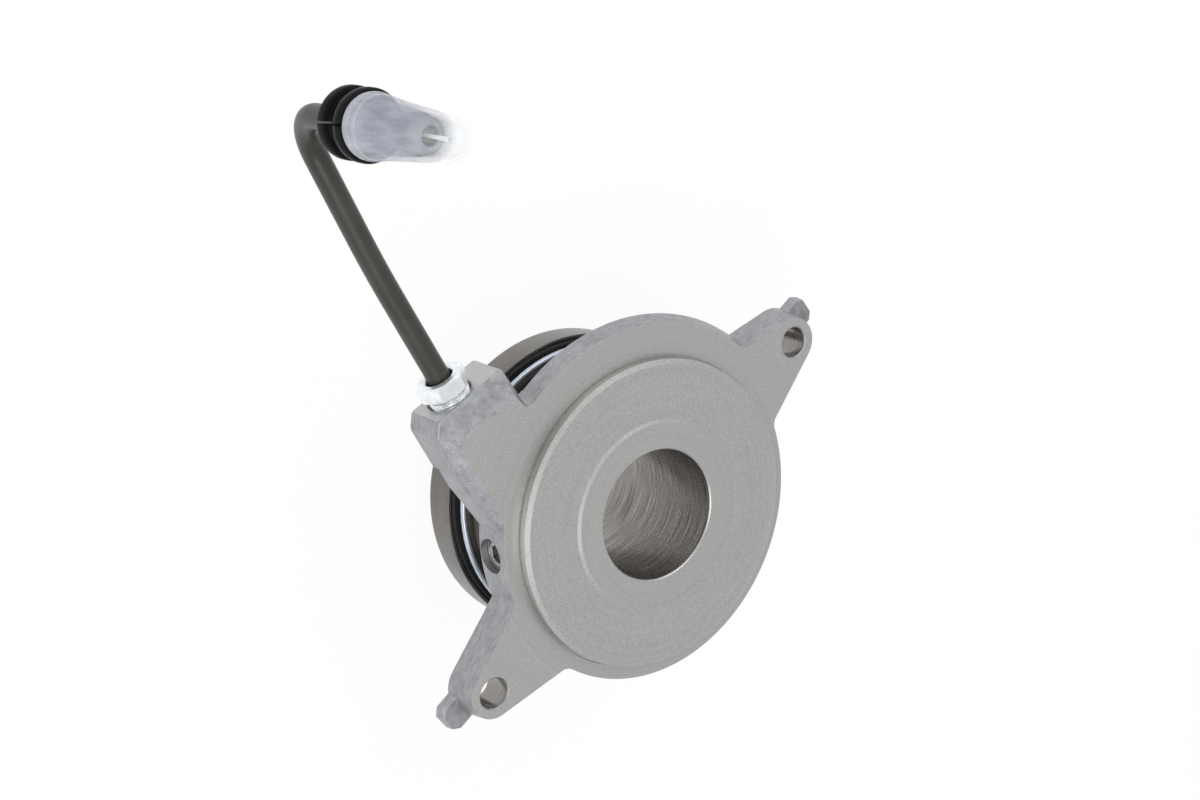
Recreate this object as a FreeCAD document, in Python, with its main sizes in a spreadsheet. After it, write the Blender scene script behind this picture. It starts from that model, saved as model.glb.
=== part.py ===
"""Concentric clutch slave cylinder with its release bearing and supply pipe.

Frame: millimetres, origin on the guide bore's axis in the machined mounting face,
+Z out of that face through the locating spigot, +X through the two bolt ears,
+Y towards the pipe. Everything below the face (bearing side) has negative Z.
"""
import FreeCAD
import Part
import Sketcher
import math
import os
import re

Vector = FreeCAD.Vector
Rotation = FreeCAD.Rotation

doc = FreeCAD.newDocument("ClutchSlaveCylinder")
sheet = doc.addObject("Spreadsheet::Sheet", "Dims")

# Driving dimensions in millimetres and degrees. Depths are measured down from the mounting face.
SIZES = [
    ("bore_radius", 15.0), ("bore_chamfer", 0.3),
    ("ring_radius", 21.1), ("ring_height", 3.1), ("ring_bevel", 0.85),
    ("spigot_radius", 35.4), ("spigot_height", 2.8),
    ("spigot_bevel_run", 1.15), ("spigot_bevel_rise", 0.4),
    ("shoulder_width", 3.7), ("rim_depth", 10.0),
    ("lip_overhang", 4.0), ("lip_bulge", 1.4), ("lip_slope_depth", 3.2),
    ("lip_depth", 4.7), ("lip_mid_angle", 55.5), ("lip_sweep", 99.0), ("lip_edge", 0.7),
    ("web_reach", 2.1), ("web_draft", 12.0),
    ("ear_reach", 53.66), ("ear_hole_radius", 3.45), ("ear_hole_chamfer", 0.4),
    ("ear_end_radius", 5.75), ("ear_flare", 16.7), ("ear_sink", 3.1),
    ("ear_depth", 8.0), ("ear_draft", 8.0), ("ear_fillet", 3.0),
    ("nub_reach", 5.6), ("nub_half_width", 3.7), ("nub_bevel", 1.6), ("nub_depth", 5.3),
    ("sleeve_radius", 17.2), ("sleeve_tail", 2.1),
    ("cylinder_radius", 24.2), ("cylinder_wall", 3.8), ("annulus_depth", 4.0),
    ("stroke", 11.0), ("end_gap", 0.4), ("slide_gap", 0.05),
    ("seal_height", 3.6), ("seal_heel", 1.5), ("seal_lip", 1.3), ("support_height", 1.2),
    ("piston_land", 3.2), ("piston_skin", 1.9), ("piston_crown", 4.0),
    ("carrier_thickness", 1.3),
    ("stop_gap", 0.1), ("snap_thickness", 1.2), ("snap_groove", 0.7),
    ("snap_width", 2.0), ("snap_opening", 4.0),
    ("shell_wall", 0.9), ("shell_height", 9.0), ("shell_gap", 0.9),
    ("shell_corner", 1.6), ("shell_hole", 20.6),
    ("seat_lap", 0.7), ("seat_top_depth", 27.4), ("seat_wall", 1.6), ("seat_gap", 0.1),
    ("seat_slope", 0.5), ("wire_radius", 0.7), ("coil_gap", 0.6), ("coil_start", 232.0),
    ("coil_clearance", 0.05), ("boot_wall", 1.0), ("boot_fold", 2.6), ("boot_stand", 1.3),
    ("boot_cuff", 2.6), ("boot_cuff_depth", 11.2), ("boot_folds", 3), ("boot_groove", 0.6),
    ("ball_radius", 2.75), ("ball_count", 18), ("pitch_radius", 23.2), ("race_fit", 0.05),
    ("race_flange", 1.3), ("race_dip", 0.35), ("race_bore", 20.9), ("race_outer", 28.2),
    ("race_gap", 1.3), ("race_height", 7.6), ("shield_width", 1.9), ("shield_seat", 1.0),
    ("shield_gap", 0.3), ("contact_bore", 19.0), ("contact_height", 9.0),
    ("contact_flange", 0.8), ("contact_nose", 1.4), ("contact_start", 3.2),
    ("cage_bore", 19.6), ("cage_gap", 0.3), ("cage_fit", 0.1), ("cage_finger", 3.9),
    ("port_x", -16.9), ("port_y", 54.9), ("port_depth", 7.5), ("port_angle", 8.0),
    ("port_bore", 4.65), ("port_bore_depth", 9.5), ("port_sink", 0.65),
    ("channel_radius", 1.6), ("feed_length", 38.0),
    ("port_face_left", 7.4), ("port_face_right", 10.8), ("boss_top", 1.8),
    ("boss_depth", 14.5), ("boss_bevel", 2.0), ("boss_cut_x", 2.6), ("boss_cut_y", 2.8),
    ("nut_flats", 10.0), ("nut_height", 3.6), ("nut_gap", 1.5), ("nut_bore", 3.1),
    ("nut_shank", 4.6), ("nut_shank_length", 7.0), ("nut_crown", 0.6), ("nut_turn", 8.0),
    ("pipe_radius", 2.55), ("pipe_wall", 0.75), ("pipe_run", 33.0), ("pipe_kink", 2.9),
    ("pipe_kink_radius", 300.0), ("pipe_reach", 36.2), ("pipe_bend", 10.0), ("pipe_top", 42.0),
    ("flare_length", 1.2), ("flare_slope", 0.55),
    ("plug_angle", 148.0), ("plug_depth", 5.8), ("plug_radius", 3.3), ("plug_length", 7.5),
    ("plug_socket", 4.0), ("plug_socket_depth", 3.0), ("plug_bevel", 0.45),
    ("spotface_radius", 3.95), ("spotface_depth", 2.4), ("plug_sink", 1.8),
    ("plug_ring_height", 0.6),
    ("grommet_base", 14.7), ("grommet_flange", 2.3), ("grommet_groove", 3.4),
    ("grommet_radius", 6.85), ("grommet_neck", 5.3), ("grommet_slit", 0.45),
    ("grommet_slit_angle", 137.0), ("grommet_edge", 0.5),
    ("cap_gap", 0.3), ("cap_mouth", 6.25), ("cap_tip", 4.15), ("cap_wall", 0.8),
    ("cap_length", 29.3), ("cap_bead", 1.5), ("cap_neck", 5.75), ("cap_step", 4.2),
    ("fitting_collar", 4.7), ("fitting_collar_height", 2.2), ("fitting_radius", 3.35),
    ("fitting_top", 43.0), ("oring_radius", 0.6), ("oring_drop", 4.0), ("oring_sink", 0.55),
]

# Corners of the port boss in plan: at the mounting face, at its shoulder and on the deep keel below.
BOSS_TOP = [
    (-27.6, 27.6), (-25.7, 39.8), (-23.9, 49.5), (-19.1, 49.6),
    (-8.1, 46.7), (-7.6, 41.5), (-14.0, 30.0),
]
BOSS_FOOT = [(-29.3, 25.6), (-29.1, 38.5)]
BOSS_KEEL = [(-28.3, 42.5), (-7.8, 42.5)]
for name, corners in (("top", BOSS_TOP), ("foot", BOSS_FOOT), ("keel", BOSS_KEEL)):
    for number, corner in enumerate(corners, start=1):
        SIZES.extend(("%s_%s%d" % (name, axis, number), value) for axis, value in zip("xy", corner))

for row, (alias, value) in enumerate(SIZES, start=1):
    sheet.set("A%d" % row, alias)
    sheet.set("B%d" % row, str(value))
    sheet.setAlias("B%d" % row, alias)
doc.recompute()

ALIASES = {alias for alias, _ in SIZES}

# Radii that follow from the pieces inside them.
DERIVED = {
    "rim_radius": "(spigot_radius + shoulder_width)",
    "lip_radius": "(rim_radius + lip_overhang)",
    "ear_root": "(rim_radius - ear_sink)",
    "boot_root": "(cylinder_radius + cylinder_wall + boot_stand)",
    "boot_crest": "(boot_root + boot_fold)",
    "seat_inner": "(boot_root + seat_lap)",
    "coil_radius": "(boot_crest + coil_gap + wire_radius)",
    "shell_inner": "(coil_radius + wire_radius + shell_gap)",
    "shell_radius": "(shell_inner + shell_wall)",
}


def named(match):
    """A name from an expression as the sheet knows it."""
    word = match.group(0)
    if word in DERIVED:
        return bind(DERIVED[word])
    return "Dims." + word if word in ALIASES else word


def bind(text):
    """Expression with every size's name resolved to the sheet."""
    return re.sub(r"[a-z][a-z_0-9]*", named, text)


def size(text):
    """Current value of an expression written with sheet aliases."""
    return float(sheet.evalExpression(bind(text)))


# Stack-up of the moving group, all from the stroke and the height of each piece in the annulus.
SEAL_TOP = "(annulus_depth + end_gap + stroke)"
PISTON_TOP = "(%s + seal_height + support_height)" % SEAL_TOP
CYLINDER_END = "(%s + piston_land)" % PISTON_TOP
CARRIER_TOP = "(%s + stroke + end_gap)" % CYLINDER_END
SHELL_FLOOR = "(%s + carrier_thickness)" % CARRIER_TOP
SHELL_BASE = "(%s + shell_wall)" % SHELL_FLOOR
BALL_DEPTH = "(%s + race_flange + ball_radius - race_dip)" % SHELL_BASE
SNAP_TOP = "(%s + stop_gap)" % SHELL_FLOOR
SLEEVE_END = "(%s + snap_thickness + sleeve_tail)" % SNAP_TOP
CONTACT_FACE = "(%s + contact_height)" % SHELL_BASE
CYLINDER_OUTER = "(cylinder_radius + cylinder_wall)"

# End of the supply pipe: the axis that the grommet, the fitting and the cap share.
RUN_ANGLE = "(port_angle + pipe_kink)"
PIPE_X = "(port_x + pipe_run * sin(port_angle) + pipe_reach * sin%s)" % RUN_ANGLE
PIPE_Y = "(port_y + pipe_run * cos(port_angle) + pipe_reach * cos%s)" % RUN_ANGLE
GROMMET_TOP = "(grommet_base + 2 * grommet_flange + grommet_groove)"
CAP_BASE = "(%s + cap_gap)" % GROMMET_TOP


def new_body(label):
    """Empty body for one piece; its label becomes the node's name."""
    body = doc.addObject("PartDesign::Body", label)
    body.Label = label
    return body


def place(body, x="0", y="0", z="0", yaw="0", pitch="0", roll="0"):
    """Bind a body's placement to the sheet."""
    text = "create(<<placement>>; create(<<vector>>; %s; %s; %s); create(<<rotation>>; %s; %s; %s))"
    body.setExpression("Placement", text % tuple(bind(t) for t in (x, y, z, yaw, pitch, roll)))


def plane_of(body, role):
    """One of the body's own origin planes."""
    return [item for item in body.Origin.OriginFeatures if item.Role == role][0]


def new_sketch(body, name, role="XZ_Plane", height=None, turn=None):
    """Sketch on an origin plane, raised along its normal or turned about its own Y axis."""
    sketch = body.newObject("Sketcher::SketchObject", name)
    sketch.AttachmentSupport = [(plane_of(body, role), "")]
    sketch.MapMode = "FlatFace"
    if height is not None:
        sketch.setExpression("AttachmentOffset.Base.z", bind(height))
    if turn is not None:
        sketch.AttachmentOffset = FreeCAD.Placement(Vector(), Rotation(Vector(0, 1, 0), size(turn)))
        sketch.setExpression("AttachmentOffset.Rotation.Angle", bind(turn))
    return sketch


def pin_point(sketch, edge, end, point):
    """Hold one end of an edge at a pair of expressions."""
    for kind, text in zip(("DistanceX", "DistanceY"), point):
        index = sketch.addConstraint(Sketcher.Constraint(kind, -1, 1, edge, end, size(text)))
        sketch.setExpression("Constraints[%d]" % index, bind(text))


def polygon(sketch, points):
    """Closed outline of straight edges through points given as pairs of expressions."""
    values = [Vector(size(x), size(y), 0) for x, y in points]
    first = sketch.GeometryCount
    count = len(points)
    for index in range(count):
        sketch.addGeometry(Part.LineSegment(values[index], values[(index + 1) % count]), False)
    for index in range(count):
        following = first + (index + 1) % count
        sketch.addConstraint(Sketcher.Constraint("Coincident", first + index, 2, following, 1))
    for index, point in enumerate(points):
        pin_point(sketch, first + index, 1, point)
    return sketch


def circle(sketch, x, y, radius):
    """Circle held at a centre with a bound radius."""
    edge = sketch.addGeometry(Part.Circle(Vector(size(x), size(y), 0), Vector(0, 0, 1), size(radius)), False)
    pin_point(sketch, edge, 3, (x, y))
    index = sketch.addConstraint(Sketcher.Constraint("Radius", edge, size(radius)))
    sketch.setExpression("Constraints[%d]" % index, bind(radius))
    return sketch


def revolve(body, name, points, angle="360", turn=None, cut=False):
    """Ring or turned shape from a section in the XZ plane, or the groove it leaves."""
    sketch = polygon(new_sketch(body, name + "Section", turn=turn), points)
    doc.recompute()
    kind = "PartDesign::Groove" if cut else "PartDesign::Revolution"
    feature = body.newObject(kind, name)
    feature.Profile = sketch
    feature.ReferenceAxis = (sketch, ["V_Axis"])
    feature.setExpression("Angle", bind(angle))
    feature.Midplane = turn is not None
    doc.recompute()
    return feature


def pad(body, name, sketch, length, down=False, taper=None):
    """Extrusion of a sketch up its normal, or down it."""
    doc.recompute()
    feature = body.newObject("PartDesign::Pad", name)
    feature.Profile = sketch
    feature.setExpression("Length", bind(length))
    feature.Reversed = down
    if taper is not None:
        feature.setExpression("TaperAngle", bind(taper))
    doc.recompute()
    return feature


def pocket(body, name, sketch, length, up=False):
    """Cut below a sketch, or above it."""
    doc.recompute()
    before = body.Shape.Volume
    feature = body.newObject("PartDesign::Pocket", name)
    feature.Profile = sketch
    feature.setExpression("Length", bind(length))
    feature.Reversed = up
    doc.recompute()
    if body.Shape.Volume > before - 1e-3:
        raise RuntimeError(name + " cuts nothing")
    return feature


def primitive(body, kind, name, sizes, x, y, z, yaw="0", pitch="0", roll="0"):
    """Additive or subtractive primitive at a bound place in its body."""
    feature = body.newObject("PartDesign::" + kind, name)
    for key, text in sizes.items():
        feature.setExpression(key, bind(text))
    text = "create(<<placement>>; create(<<vector>>; %s; %s; %s); create(<<rotation>>; %s; %s; %s))"
    feature.setExpression("Placement", text % tuple(bind(t) for t in (x, y, z, yaw, pitch, roll)))
    doc.recompute()
    return feature


def repeat(body, name, features, count):
    """Polar pattern of features about the body's Z axis."""
    axis = [item for item in body.Origin.OriginFeatures if item.Role == "Z_Axis"][0]
    pattern = body.newObject("PartDesign::PolarPattern", name)
    pattern.Originals = features
    pattern.Axis = (axis, [""])
    pattern.Angle = 360
    pattern.setExpression("Occurrences", bind(count))
    body.Tip = pattern
    doc.recompute()
    return pattern


def edges_where(feature, test):
    """Names of a feature's edges that pass a test on the edge."""
    return ["Edge%d" % number for number, edge in enumerate(feature.Shape.Edges, start=1) if test(edge)]


def dress(body, kind, name, feature, test, amount):
    """Fillet or chamfer on the edges of a feature that pass a test."""
    chosen = edges_where(feature, test)
    if not chosen:
        raise RuntimeError(name + " finds no edge")
    dressing = body.newObject("PartDesign::" + kind, name)
    dressing.Base = (feature, chosen)
    dressing.setExpression("Radius" if kind == "Fillet" else "Size", bind(amount))
    body.Tip = dressing
    doc.recompute()
    return dressing


def make_housing():
    """Die-cast aluminium housing: rim, ears, port boss, cylinder and guide sleeve in one casting."""
    body = new_body("housing")
    snap_floor = "sleeve_radius - snap_groove"
    cuff_floor = "%s - boot_groove" % CYLINDER_OUTER
    section = [
        ("bore_radius", "-" + SLEEVE_END),
        ("bore_radius", "ring_height - bore_chamfer"),
        ("bore_radius + bore_chamfer", "ring_height"),
        ("ring_radius", "ring_height"),
        ("ring_radius + ring_bevel", "spigot_height"),
        ("spigot_radius - spigot_bevel_run", "spigot_height"),
        ("spigot_radius", "spigot_height - spigot_bevel_rise"),
        ("spigot_radius", "0"),
        ("rim_radius", "0"),
        ("rim_radius", "-rim_depth"),
        (CYLINDER_OUTER, "-rim_depth"),
        (CYLINDER_OUTER, "-boot_cuff_depth"),
        (cuff_floor, "-boot_cuff_depth"),
        (cuff_floor, "-(boot_cuff_depth + boot_cuff)"),
        (CYLINDER_OUTER, "-(boot_cuff_depth + boot_cuff)"),
        (CYLINDER_OUTER, "-" + CYLINDER_END),
        ("cylinder_radius", "-" + CYLINDER_END),
        ("cylinder_radius", "-annulus_depth"),
        ("sleeve_radius", "-annulus_depth"),
        ("sleeve_radius", "-" + SNAP_TOP),
        (snap_floor, "-" + SNAP_TOP),
        (snap_floor, "-(%s + snap_thickness)" % SNAP_TOP),
        ("sleeve_radius", "-(%s + snap_thickness)" % SNAP_TOP),
        ("sleeve_radius", "-" + SLEEVE_END),
    ]
    revolve(body, "TurnedForm", section)

    # The thin lip that widens the rim between the port boss and the right ear.
    lip_root = "rim_radius - cylinder_wall"
    revolve(body, "RimLip", [
        (lip_root, "0"),
        ("lip_radius", "0"),
        ("lip_radius + lip_bulge", "-lip_slope_depth"),
        ("lip_radius + lip_bulge", "-(lip_depth - lip_edge)"),
        ("lip_radius + lip_bulge - lip_edge", "-lip_depth"),
        (lip_root, "-lip_depth"),
    ], angle="lip_sweep", turn="lip_mid_angle")

    # One bolt ear with its lug, then both again on the far side.
    ear = new_sketch(body, "EarOutline", "XY_Plane")
    tangent_x = "ear_reach + ear_end_radius * sin(ear_flare)"
    tangent_y = "ear_end_radius * cos(ear_flare)"
    root_y = "ear_end_radius / cos(ear_flare) + (ear_reach - ear_root) * tan(ear_flare)"
    corners = [
        (tangent_x, tangent_y),
        ("ear_root", root_y),
        ("ear_root", "-(%s)" % root_y),
        (tangent_x, "-(%s)" % tangent_y),
    ]
    values = [Vector(size(x), size(y), 0) for x, y in corners]
    for start, end in zip(values, values[1:]):
        ear.addGeometry(Part.LineSegment(start, end), False)
    spread = math.radians(90 - size("ear_flare"))
    rounding = Part.Circle(Vector(size("ear_reach"), 0, 0), Vector(0, 0, 1), size("ear_end_radius"))
    arc = ear.addGeometry(Part.ArcOfCircle(rounding, -spread, spread), False)
    ear.addConstraint(Sketcher.Constraint("Coincident", 0, 2, 1, 1))
    ear.addConstraint(Sketcher.Constraint("Coincident", 1, 2, 2, 1))
    ear.addConstraint(Sketcher.Constraint("Coincident", 2, 2, arc, 1))
    ear.addConstraint(Sketcher.Constraint("Coincident", arc, 2, 0, 1))
    for edge in (0, 1, 2):
        pin_point(ear, edge, 1, corners[edge])
    pin_point(ear, 2, 2, corners[3])
    index = ear.addConstraint(Sketcher.Constraint("DistanceX", -1, 1, arc, 3, size("ear_reach")))
    ear.setExpression("Constraints[%d]" % index, bind("ear_reach"))
    ear_pad = pad(body, "Ear", ear, "ear_depth", down=True, taper="ear_draft")

    lug = new_sketch(body, "LugOutline", "XY_Plane", height="-nub_depth")
    lug_end = "ear_reach + ear_end_radius + nub_reach"
    polygon(lug, [
        ("ear_reach", "-nub_half_width"),
        (lug_end + " - nub_bevel", "-nub_half_width"),
        (lug_end, "-(nub_half_width - nub_bevel)"),
        (lug_end, "nub_half_width - nub_bevel"),
        (lug_end + " - nub_bevel", "nub_half_width"),
        ("ear_reach", "nub_half_width"),
    ])
    lug_pad = pad(body, "CastingLug", lug, "ear_depth - nub_depth", down=True)
    repeat(body, "SecondEar", [ear_pad, lug_pad], "2")

    # Cast web that rounds the corner between the lip's edge and the right ear's flank.
    flank_height = "(ear_end_radius / cos(ear_flare) + ear_reach * tan(ear_flare))"
    steep = "(1 + tan(ear_flare)^2)"
    corner_x = "((tan(ear_flare) * %s + sqrt(lip_radius^2 * %s - %s^2)) / %s)" % (
        flank_height, steep, flank_height, steep)
    corner_y = "(%s - %s * tan(ear_flare))" % (flank_height, corner_x)
    ear_web = new_sketch(body, "EarWebOutline", "XY_Plane")
    polygon(ear_web, [
        (corner_x + " - web_reach", corner_y + " - web_reach"),
        (corner_x + " + web_reach * cos(ear_flare)", corner_y + " - web_reach * sin(ear_flare)"),
        (corner_x + " + web_reach * 0.2", corner_y + " + web_reach * 0.185"),
        (corner_x + " - web_reach * 0.22", corner_y + " + web_reach * 0.97"),
    ])
    pad(body, "EarWeb", ear_web, "lip_slope_depth", down=True, taper="web_draft")

    # Port boss: a bevelled top that runs out of the mounting face, and the block that holds the port.
    along = ("cos(port_angle)", "-sin(port_angle)")

    def on_port_face(offset):
        """Point on the port's machined face, in plan, at an offset across it."""
        return ("port_x + (%s) * %s" % (offset, along[0]), "port_y + (%s) * %s" % (offset, along[1]))

    top = new_sketch(body, "BossTop", "XY_Plane")
    polygon(top, [("top_x%d" % number, "top_y%d" % number) for number in range(1, len(BOSS_TOP) + 1)])
    face_left = on_port_face("-port_face_left")
    face_right = on_port_face("port_face_right")
    block = [
        ("foot_x1", "foot_y1"),
        ("foot_x2", "foot_y2"),
        (face_left[0] + " - boss_cut_x", face_left[1] + " - boss_cut_y"),
        face_left,
        face_right,
        ("top_x6", "top_y6"),
        ("top_x7", "top_y7"),
    ]
    rim_side = new_sketch(body, "BossShoulder", "XY_Plane", height="-boss_top")
    polygon(rim_side, block)
    doc.recompute()
    loft = body.newObject("PartDesign::AdditiveLoft", "BossBevel")
    loft.Profile = top
    loft.Sections = [rim_side]
    loft.Ruled = True
    doc.recompute()

    shoulder = new_sketch(body, "BossPlan", "XY_Plane", height="-boss_top")
    polygon(shoulder, block)
    pad(body, "BossBlock", shoulder, "rim_depth - boss_top", down=True)
    deep = new_sketch(body, "BossKeel", "XY_Plane", height="-rim_depth")
    polygon(deep, [("keel_x1", "keel_y1"), block[2], face_left, face_right, ("keel_x2", "keel_y2")])
    pad(body, "BossDeep", deep, "boss_depth - rim_depth", down=True)

    # The web's twin where the lip runs into the boss's side.
    meet_y = "sqrt(lip_radius^2 - top_x6^2)"
    boss_web = new_sketch(body, "BossWebOutline", "XY_Plane")
    polygon(boss_web, [
        ("top_x6 - web_reach", meet_y + " - web_reach"),
        ("top_x6 + web_reach", meet_y + " + web_reach * 0.17"),
        ("top_x6 + web_reach * 0.27", meet_y + " + web_reach * 0.35"),
        ("top_x6 - web_reach * 0.1", meet_y + " + web_reach"),
        ("top_x6 - web_reach", meet_y + " + web_reach"),
    ])
    keel = pad(body, "BossWeb", boss_web, "lip_slope_depth", down=True, taper="web_draft")

    def keel_edge(edge):
        box = edge.BoundBox
        low = abs(box.ZMax + size("boss_depth")) < 0.01 and abs(box.ZMin + size("boss_depth")) < 0.01
        return low and box.Center.y > size("rim_radius")
    keel = dress(body, "Chamfer", "KeelBevel", keel, keel_edge, "boss_bevel")

    def ear_root_edge(edge):
        box = edge.BoundBox
        sideways = max(box.XLength, box.YLength)
        upright = box.ZLength > 0.8 * size("ear_depth") and sideways < 0.3 * size("ear_depth")
        radius = math.hypot(box.Center.x, box.Center.y)
        near_rim = abs(radius - size("rim_radius")) < 0.1 * size("ear_depth")
        beside_ear = abs(box.Center.y) < 0.5 * size("rim_radius") < abs(box.Center.x)
        return upright and near_rim and beside_ear
    dress(body, "Fillet", "EarRootFillet", keel, ear_root_edge, "ear_fillet")

    # Bolt holes through the ears, with a small lead-in.
    holes = new_sketch(body, "EarHoles", "XY_Plane")
    circle(holes, "ear_reach", "0", "ear_hole_radius")
    circle(holes, "-ear_reach", "0", "ear_hole_radius")
    drilled = pocket(body, "EarHole", holes, "rim_depth + 1")

    def hole_rim(edge):
        box = edge.BoundBox
        flat = box.ZLength < 0.01 and abs(box.ZMax) < 0.01
        centred = abs(abs(box.Center.x) - size("ear_reach")) < 0.05 and abs(box.Center.y) < 0.05
        return flat and centred and abs(box.XLength - 2 * size("ear_hole_radius")) < 0.05
    dress(body, "Chamfer", "EarHoleLeadIn", drilled, hole_rim, "ear_hole_chamfer")

    # Threaded port, its feed drilling along the port's axis, and the cross drilling behind the plug.
    bore_in = "-port_bore_depth"
    port_floor = (
        "port_x + (%s) * sin(port_angle)" % bore_in,
        "port_y + (%s) * cos(port_angle)" % bore_in,
    )
    primitive(body, "SubtractiveCylinder", "PortBore",
              {"Radius": "port_bore", "Height": "port_bore_depth + 1"},
              port_floor[0], port_floor[1], "-port_depth", yaw="-port_angle", roll="-90")
    primitive(body, "SubtractiveCone", "PortLeadIn",
              {"Radius1": "port_bore", "Radius2": "port_bore + 2 * port_sink", "Height": "2 * port_sink"},
              "port_x - port_sink * sin(port_angle)", "port_y - port_sink * cos(port_angle)", "-port_depth",
              yaw="-port_angle", roll="-90")
    primitive(body, "SubtractiveCylinder", "FeedDrilling",
              {"Radius": "channel_radius", "Height": "feed_length - port_bore_depth + 0.5"},
              "port_x - feed_length * sin(port_angle)", "port_y - feed_length * cos(port_angle)",
              "-port_depth", yaw="-port_angle", roll="-90")
    inward = "cylinder_radius - 1"
    primitive(body, "SubtractiveCylinder", "CrossDrilling",
              {"Radius": "channel_radius", "Height": "rim_radius - cylinder_radius"},
              "(%s) * cos(plug_angle)" % inward, "(%s) * sin(plug_angle)" % inward, "-plug_depth",
              yaw="plug_angle - 90", roll="-90")
    seat = "rim_radius - spotface_depth - plug_length"
    primitive(body, "SubtractiveCylinder", "PlugThread",
              {"Radius": "plug_radius", "Height": "plug_length + 2"},
              "(%s) * cos(plug_angle)" % seat, "(%s) * sin(plug_angle)" % seat, "-plug_depth",
              yaw="plug_angle - 90", roll="-90")
    spot = "rim_radius - spotface_depth"
    primitive(body, "SubtractiveCylinder", "Spotface",
              {"Radius": "spotface_radius", "Height": "3"},
              "(%s) * cos(plug_angle)" % spot, "(%s) * sin(plug_angle)" % spot, "-plug_depth",
              yaw="plug_angle - 90", roll="-90")
    return body


def make_annulus_pieces():
    """Lip seal, support ring and piston that slide between the sleeve and the cylinder."""
    inner = "sleeve_radius + slide_gap"
    outer = "cylinder_radius - slide_gap"
    middle = "(sleeve_radius + cylinder_radius) / 2"

    seal = new_body("piston_seal")
    revolve(seal, "LipSection", [
        (inner, "-(%s + seal_height)" % SEAL_TOP),
        (inner, "-" + SEAL_TOP),
        ("%s + seal_lip * 0.6" % inner, "-" + SEAL_TOP),
        (middle, "-(%s + seal_height - seal_heel)" % SEAL_TOP),
        ("%s - seal_lip * 0.6" % outer, "-" + SEAL_TOP),
        (outer, "-" + SEAL_TOP),
        (outer, "-(%s + seal_height)" % SEAL_TOP),
    ])

    support = new_body("seal_support_ring")
    ring_top = "%s + seal_height" % SEAL_TOP
    revolve(support, "RingSection", [
        (inner, "-(%s)" % ring_top),
        (outer, "-(%s)" % ring_top),
        (outer, "-(%s + support_height)" % ring_top),
        (inner, "-(%s + support_height)" % ring_top),
    ])

    piston = new_body("piston")
    revolve(piston, "PistonSection", [
        (inner, "-" + PISTON_TOP),
        (outer, "-" + PISTON_TOP),
        (outer, "-" + CARRIER_TOP),
        ("boot_root", "-" + CARRIER_TOP),
        ("boot_root", "-" + SHELL_FLOOR),
        ("%s - piston_skin" % outer, "-" + SHELL_FLOOR),
        ("%s - piston_skin" % outer, "-(%s + piston_crown)" % PISTON_TOP),
        ("%s + piston_skin" % inner, "-(%s + piston_crown)" % PISTON_TOP),
        ("%s + piston_skin" % inner, "-" + SHELL_FLOOR),
        (inner, "-" + SHELL_FLOOR),
    ])


def make_snap_ring():
    """Open spring-steel ring in the sleeve's groove that stops the piston's travel."""
    body = new_body("retaining_ring")
    inner = "sleeve_radius - snap_groove"
    ring = revolve(body, "RingSection", [
        (inner, "-" + SNAP_TOP),
        ("%s + snap_width" % inner, "-" + SNAP_TOP),
        ("%s + snap_width" % inner, "-(%s + snap_thickness)" % SNAP_TOP),
        (inner, "-(%s + snap_thickness)" % SNAP_TOP),
    ])
    gap = new_sketch(body, "RingGap", "XY_Plane", height="-(%s + snap_thickness + 1)" % SNAP_TOP)
    polygon(gap, [
        ("-snap_opening / 2", "0"),
        ("snap_opening / 2", "0"),
        ("snap_opening / 2", "-(sleeve_radius + snap_width + 2)"),
        ("-snap_opening / 2", "-(sleeve_radius + snap_width + 2)"),
    ])
    pocket(body, "RingOpening", gap, "snap_thickness + 2", up=True)
    return ring


def make_bearing_shell():
    """Pressed steel cup that carries the release bearing."""
    body = new_body("bearing_shell")
    lip = "-(%s - shell_height)" % SHELL_BASE
    revolve(body, "CupSection", [
        ("shell_hole", "-" + SHELL_FLOOR),
        ("shell_inner - shell_corner + shell_wall", "-" + SHELL_FLOOR),
        ("shell_inner", "-(%s - shell_corner + shell_wall)" % SHELL_FLOOR),
        ("shell_inner", lip),
        ("shell_radius", lip),
        ("shell_radius", "-(%s - shell_corner)" % SHELL_BASE),
        ("shell_radius - shell_corner * 0.3", "-(%s - shell_corner * 0.3)" % SHELL_BASE),
        ("shell_radius - shell_corner", "-" + SHELL_BASE),
        ("shell_hole", "-" + SHELL_BASE),
    ])


def make_spring_seat():
    """Black moulded ring in the cup: the spring's last coil and the boot's foot stand on it."""
    body = new_body("spring_seat")
    outer = "shell_inner - seat_gap"
    foot = "-(%s)" % SHELL_FLOOR
    step = "-(%s - shell_corner)" % SHELL_FLOOR
    revolve(body, "SeatSection", [
        ("seat_inner", "-seat_top_depth"),
        (outer, "-(seat_top_depth + seat_slope)"),
        (outer, step),
        ("%s - shell_corner" % outer, foot),
        ("%s - seat_wall - shell_corner" % outer, foot),
        ("%s - seat_wall" % outer, step),
        ("%s - seat_wall" % outer, "-(seat_top_depth + seat_wall + seat_slope)"),
        ("seat_inner", "-(seat_top_depth + seat_wall)"),
    ])


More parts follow.
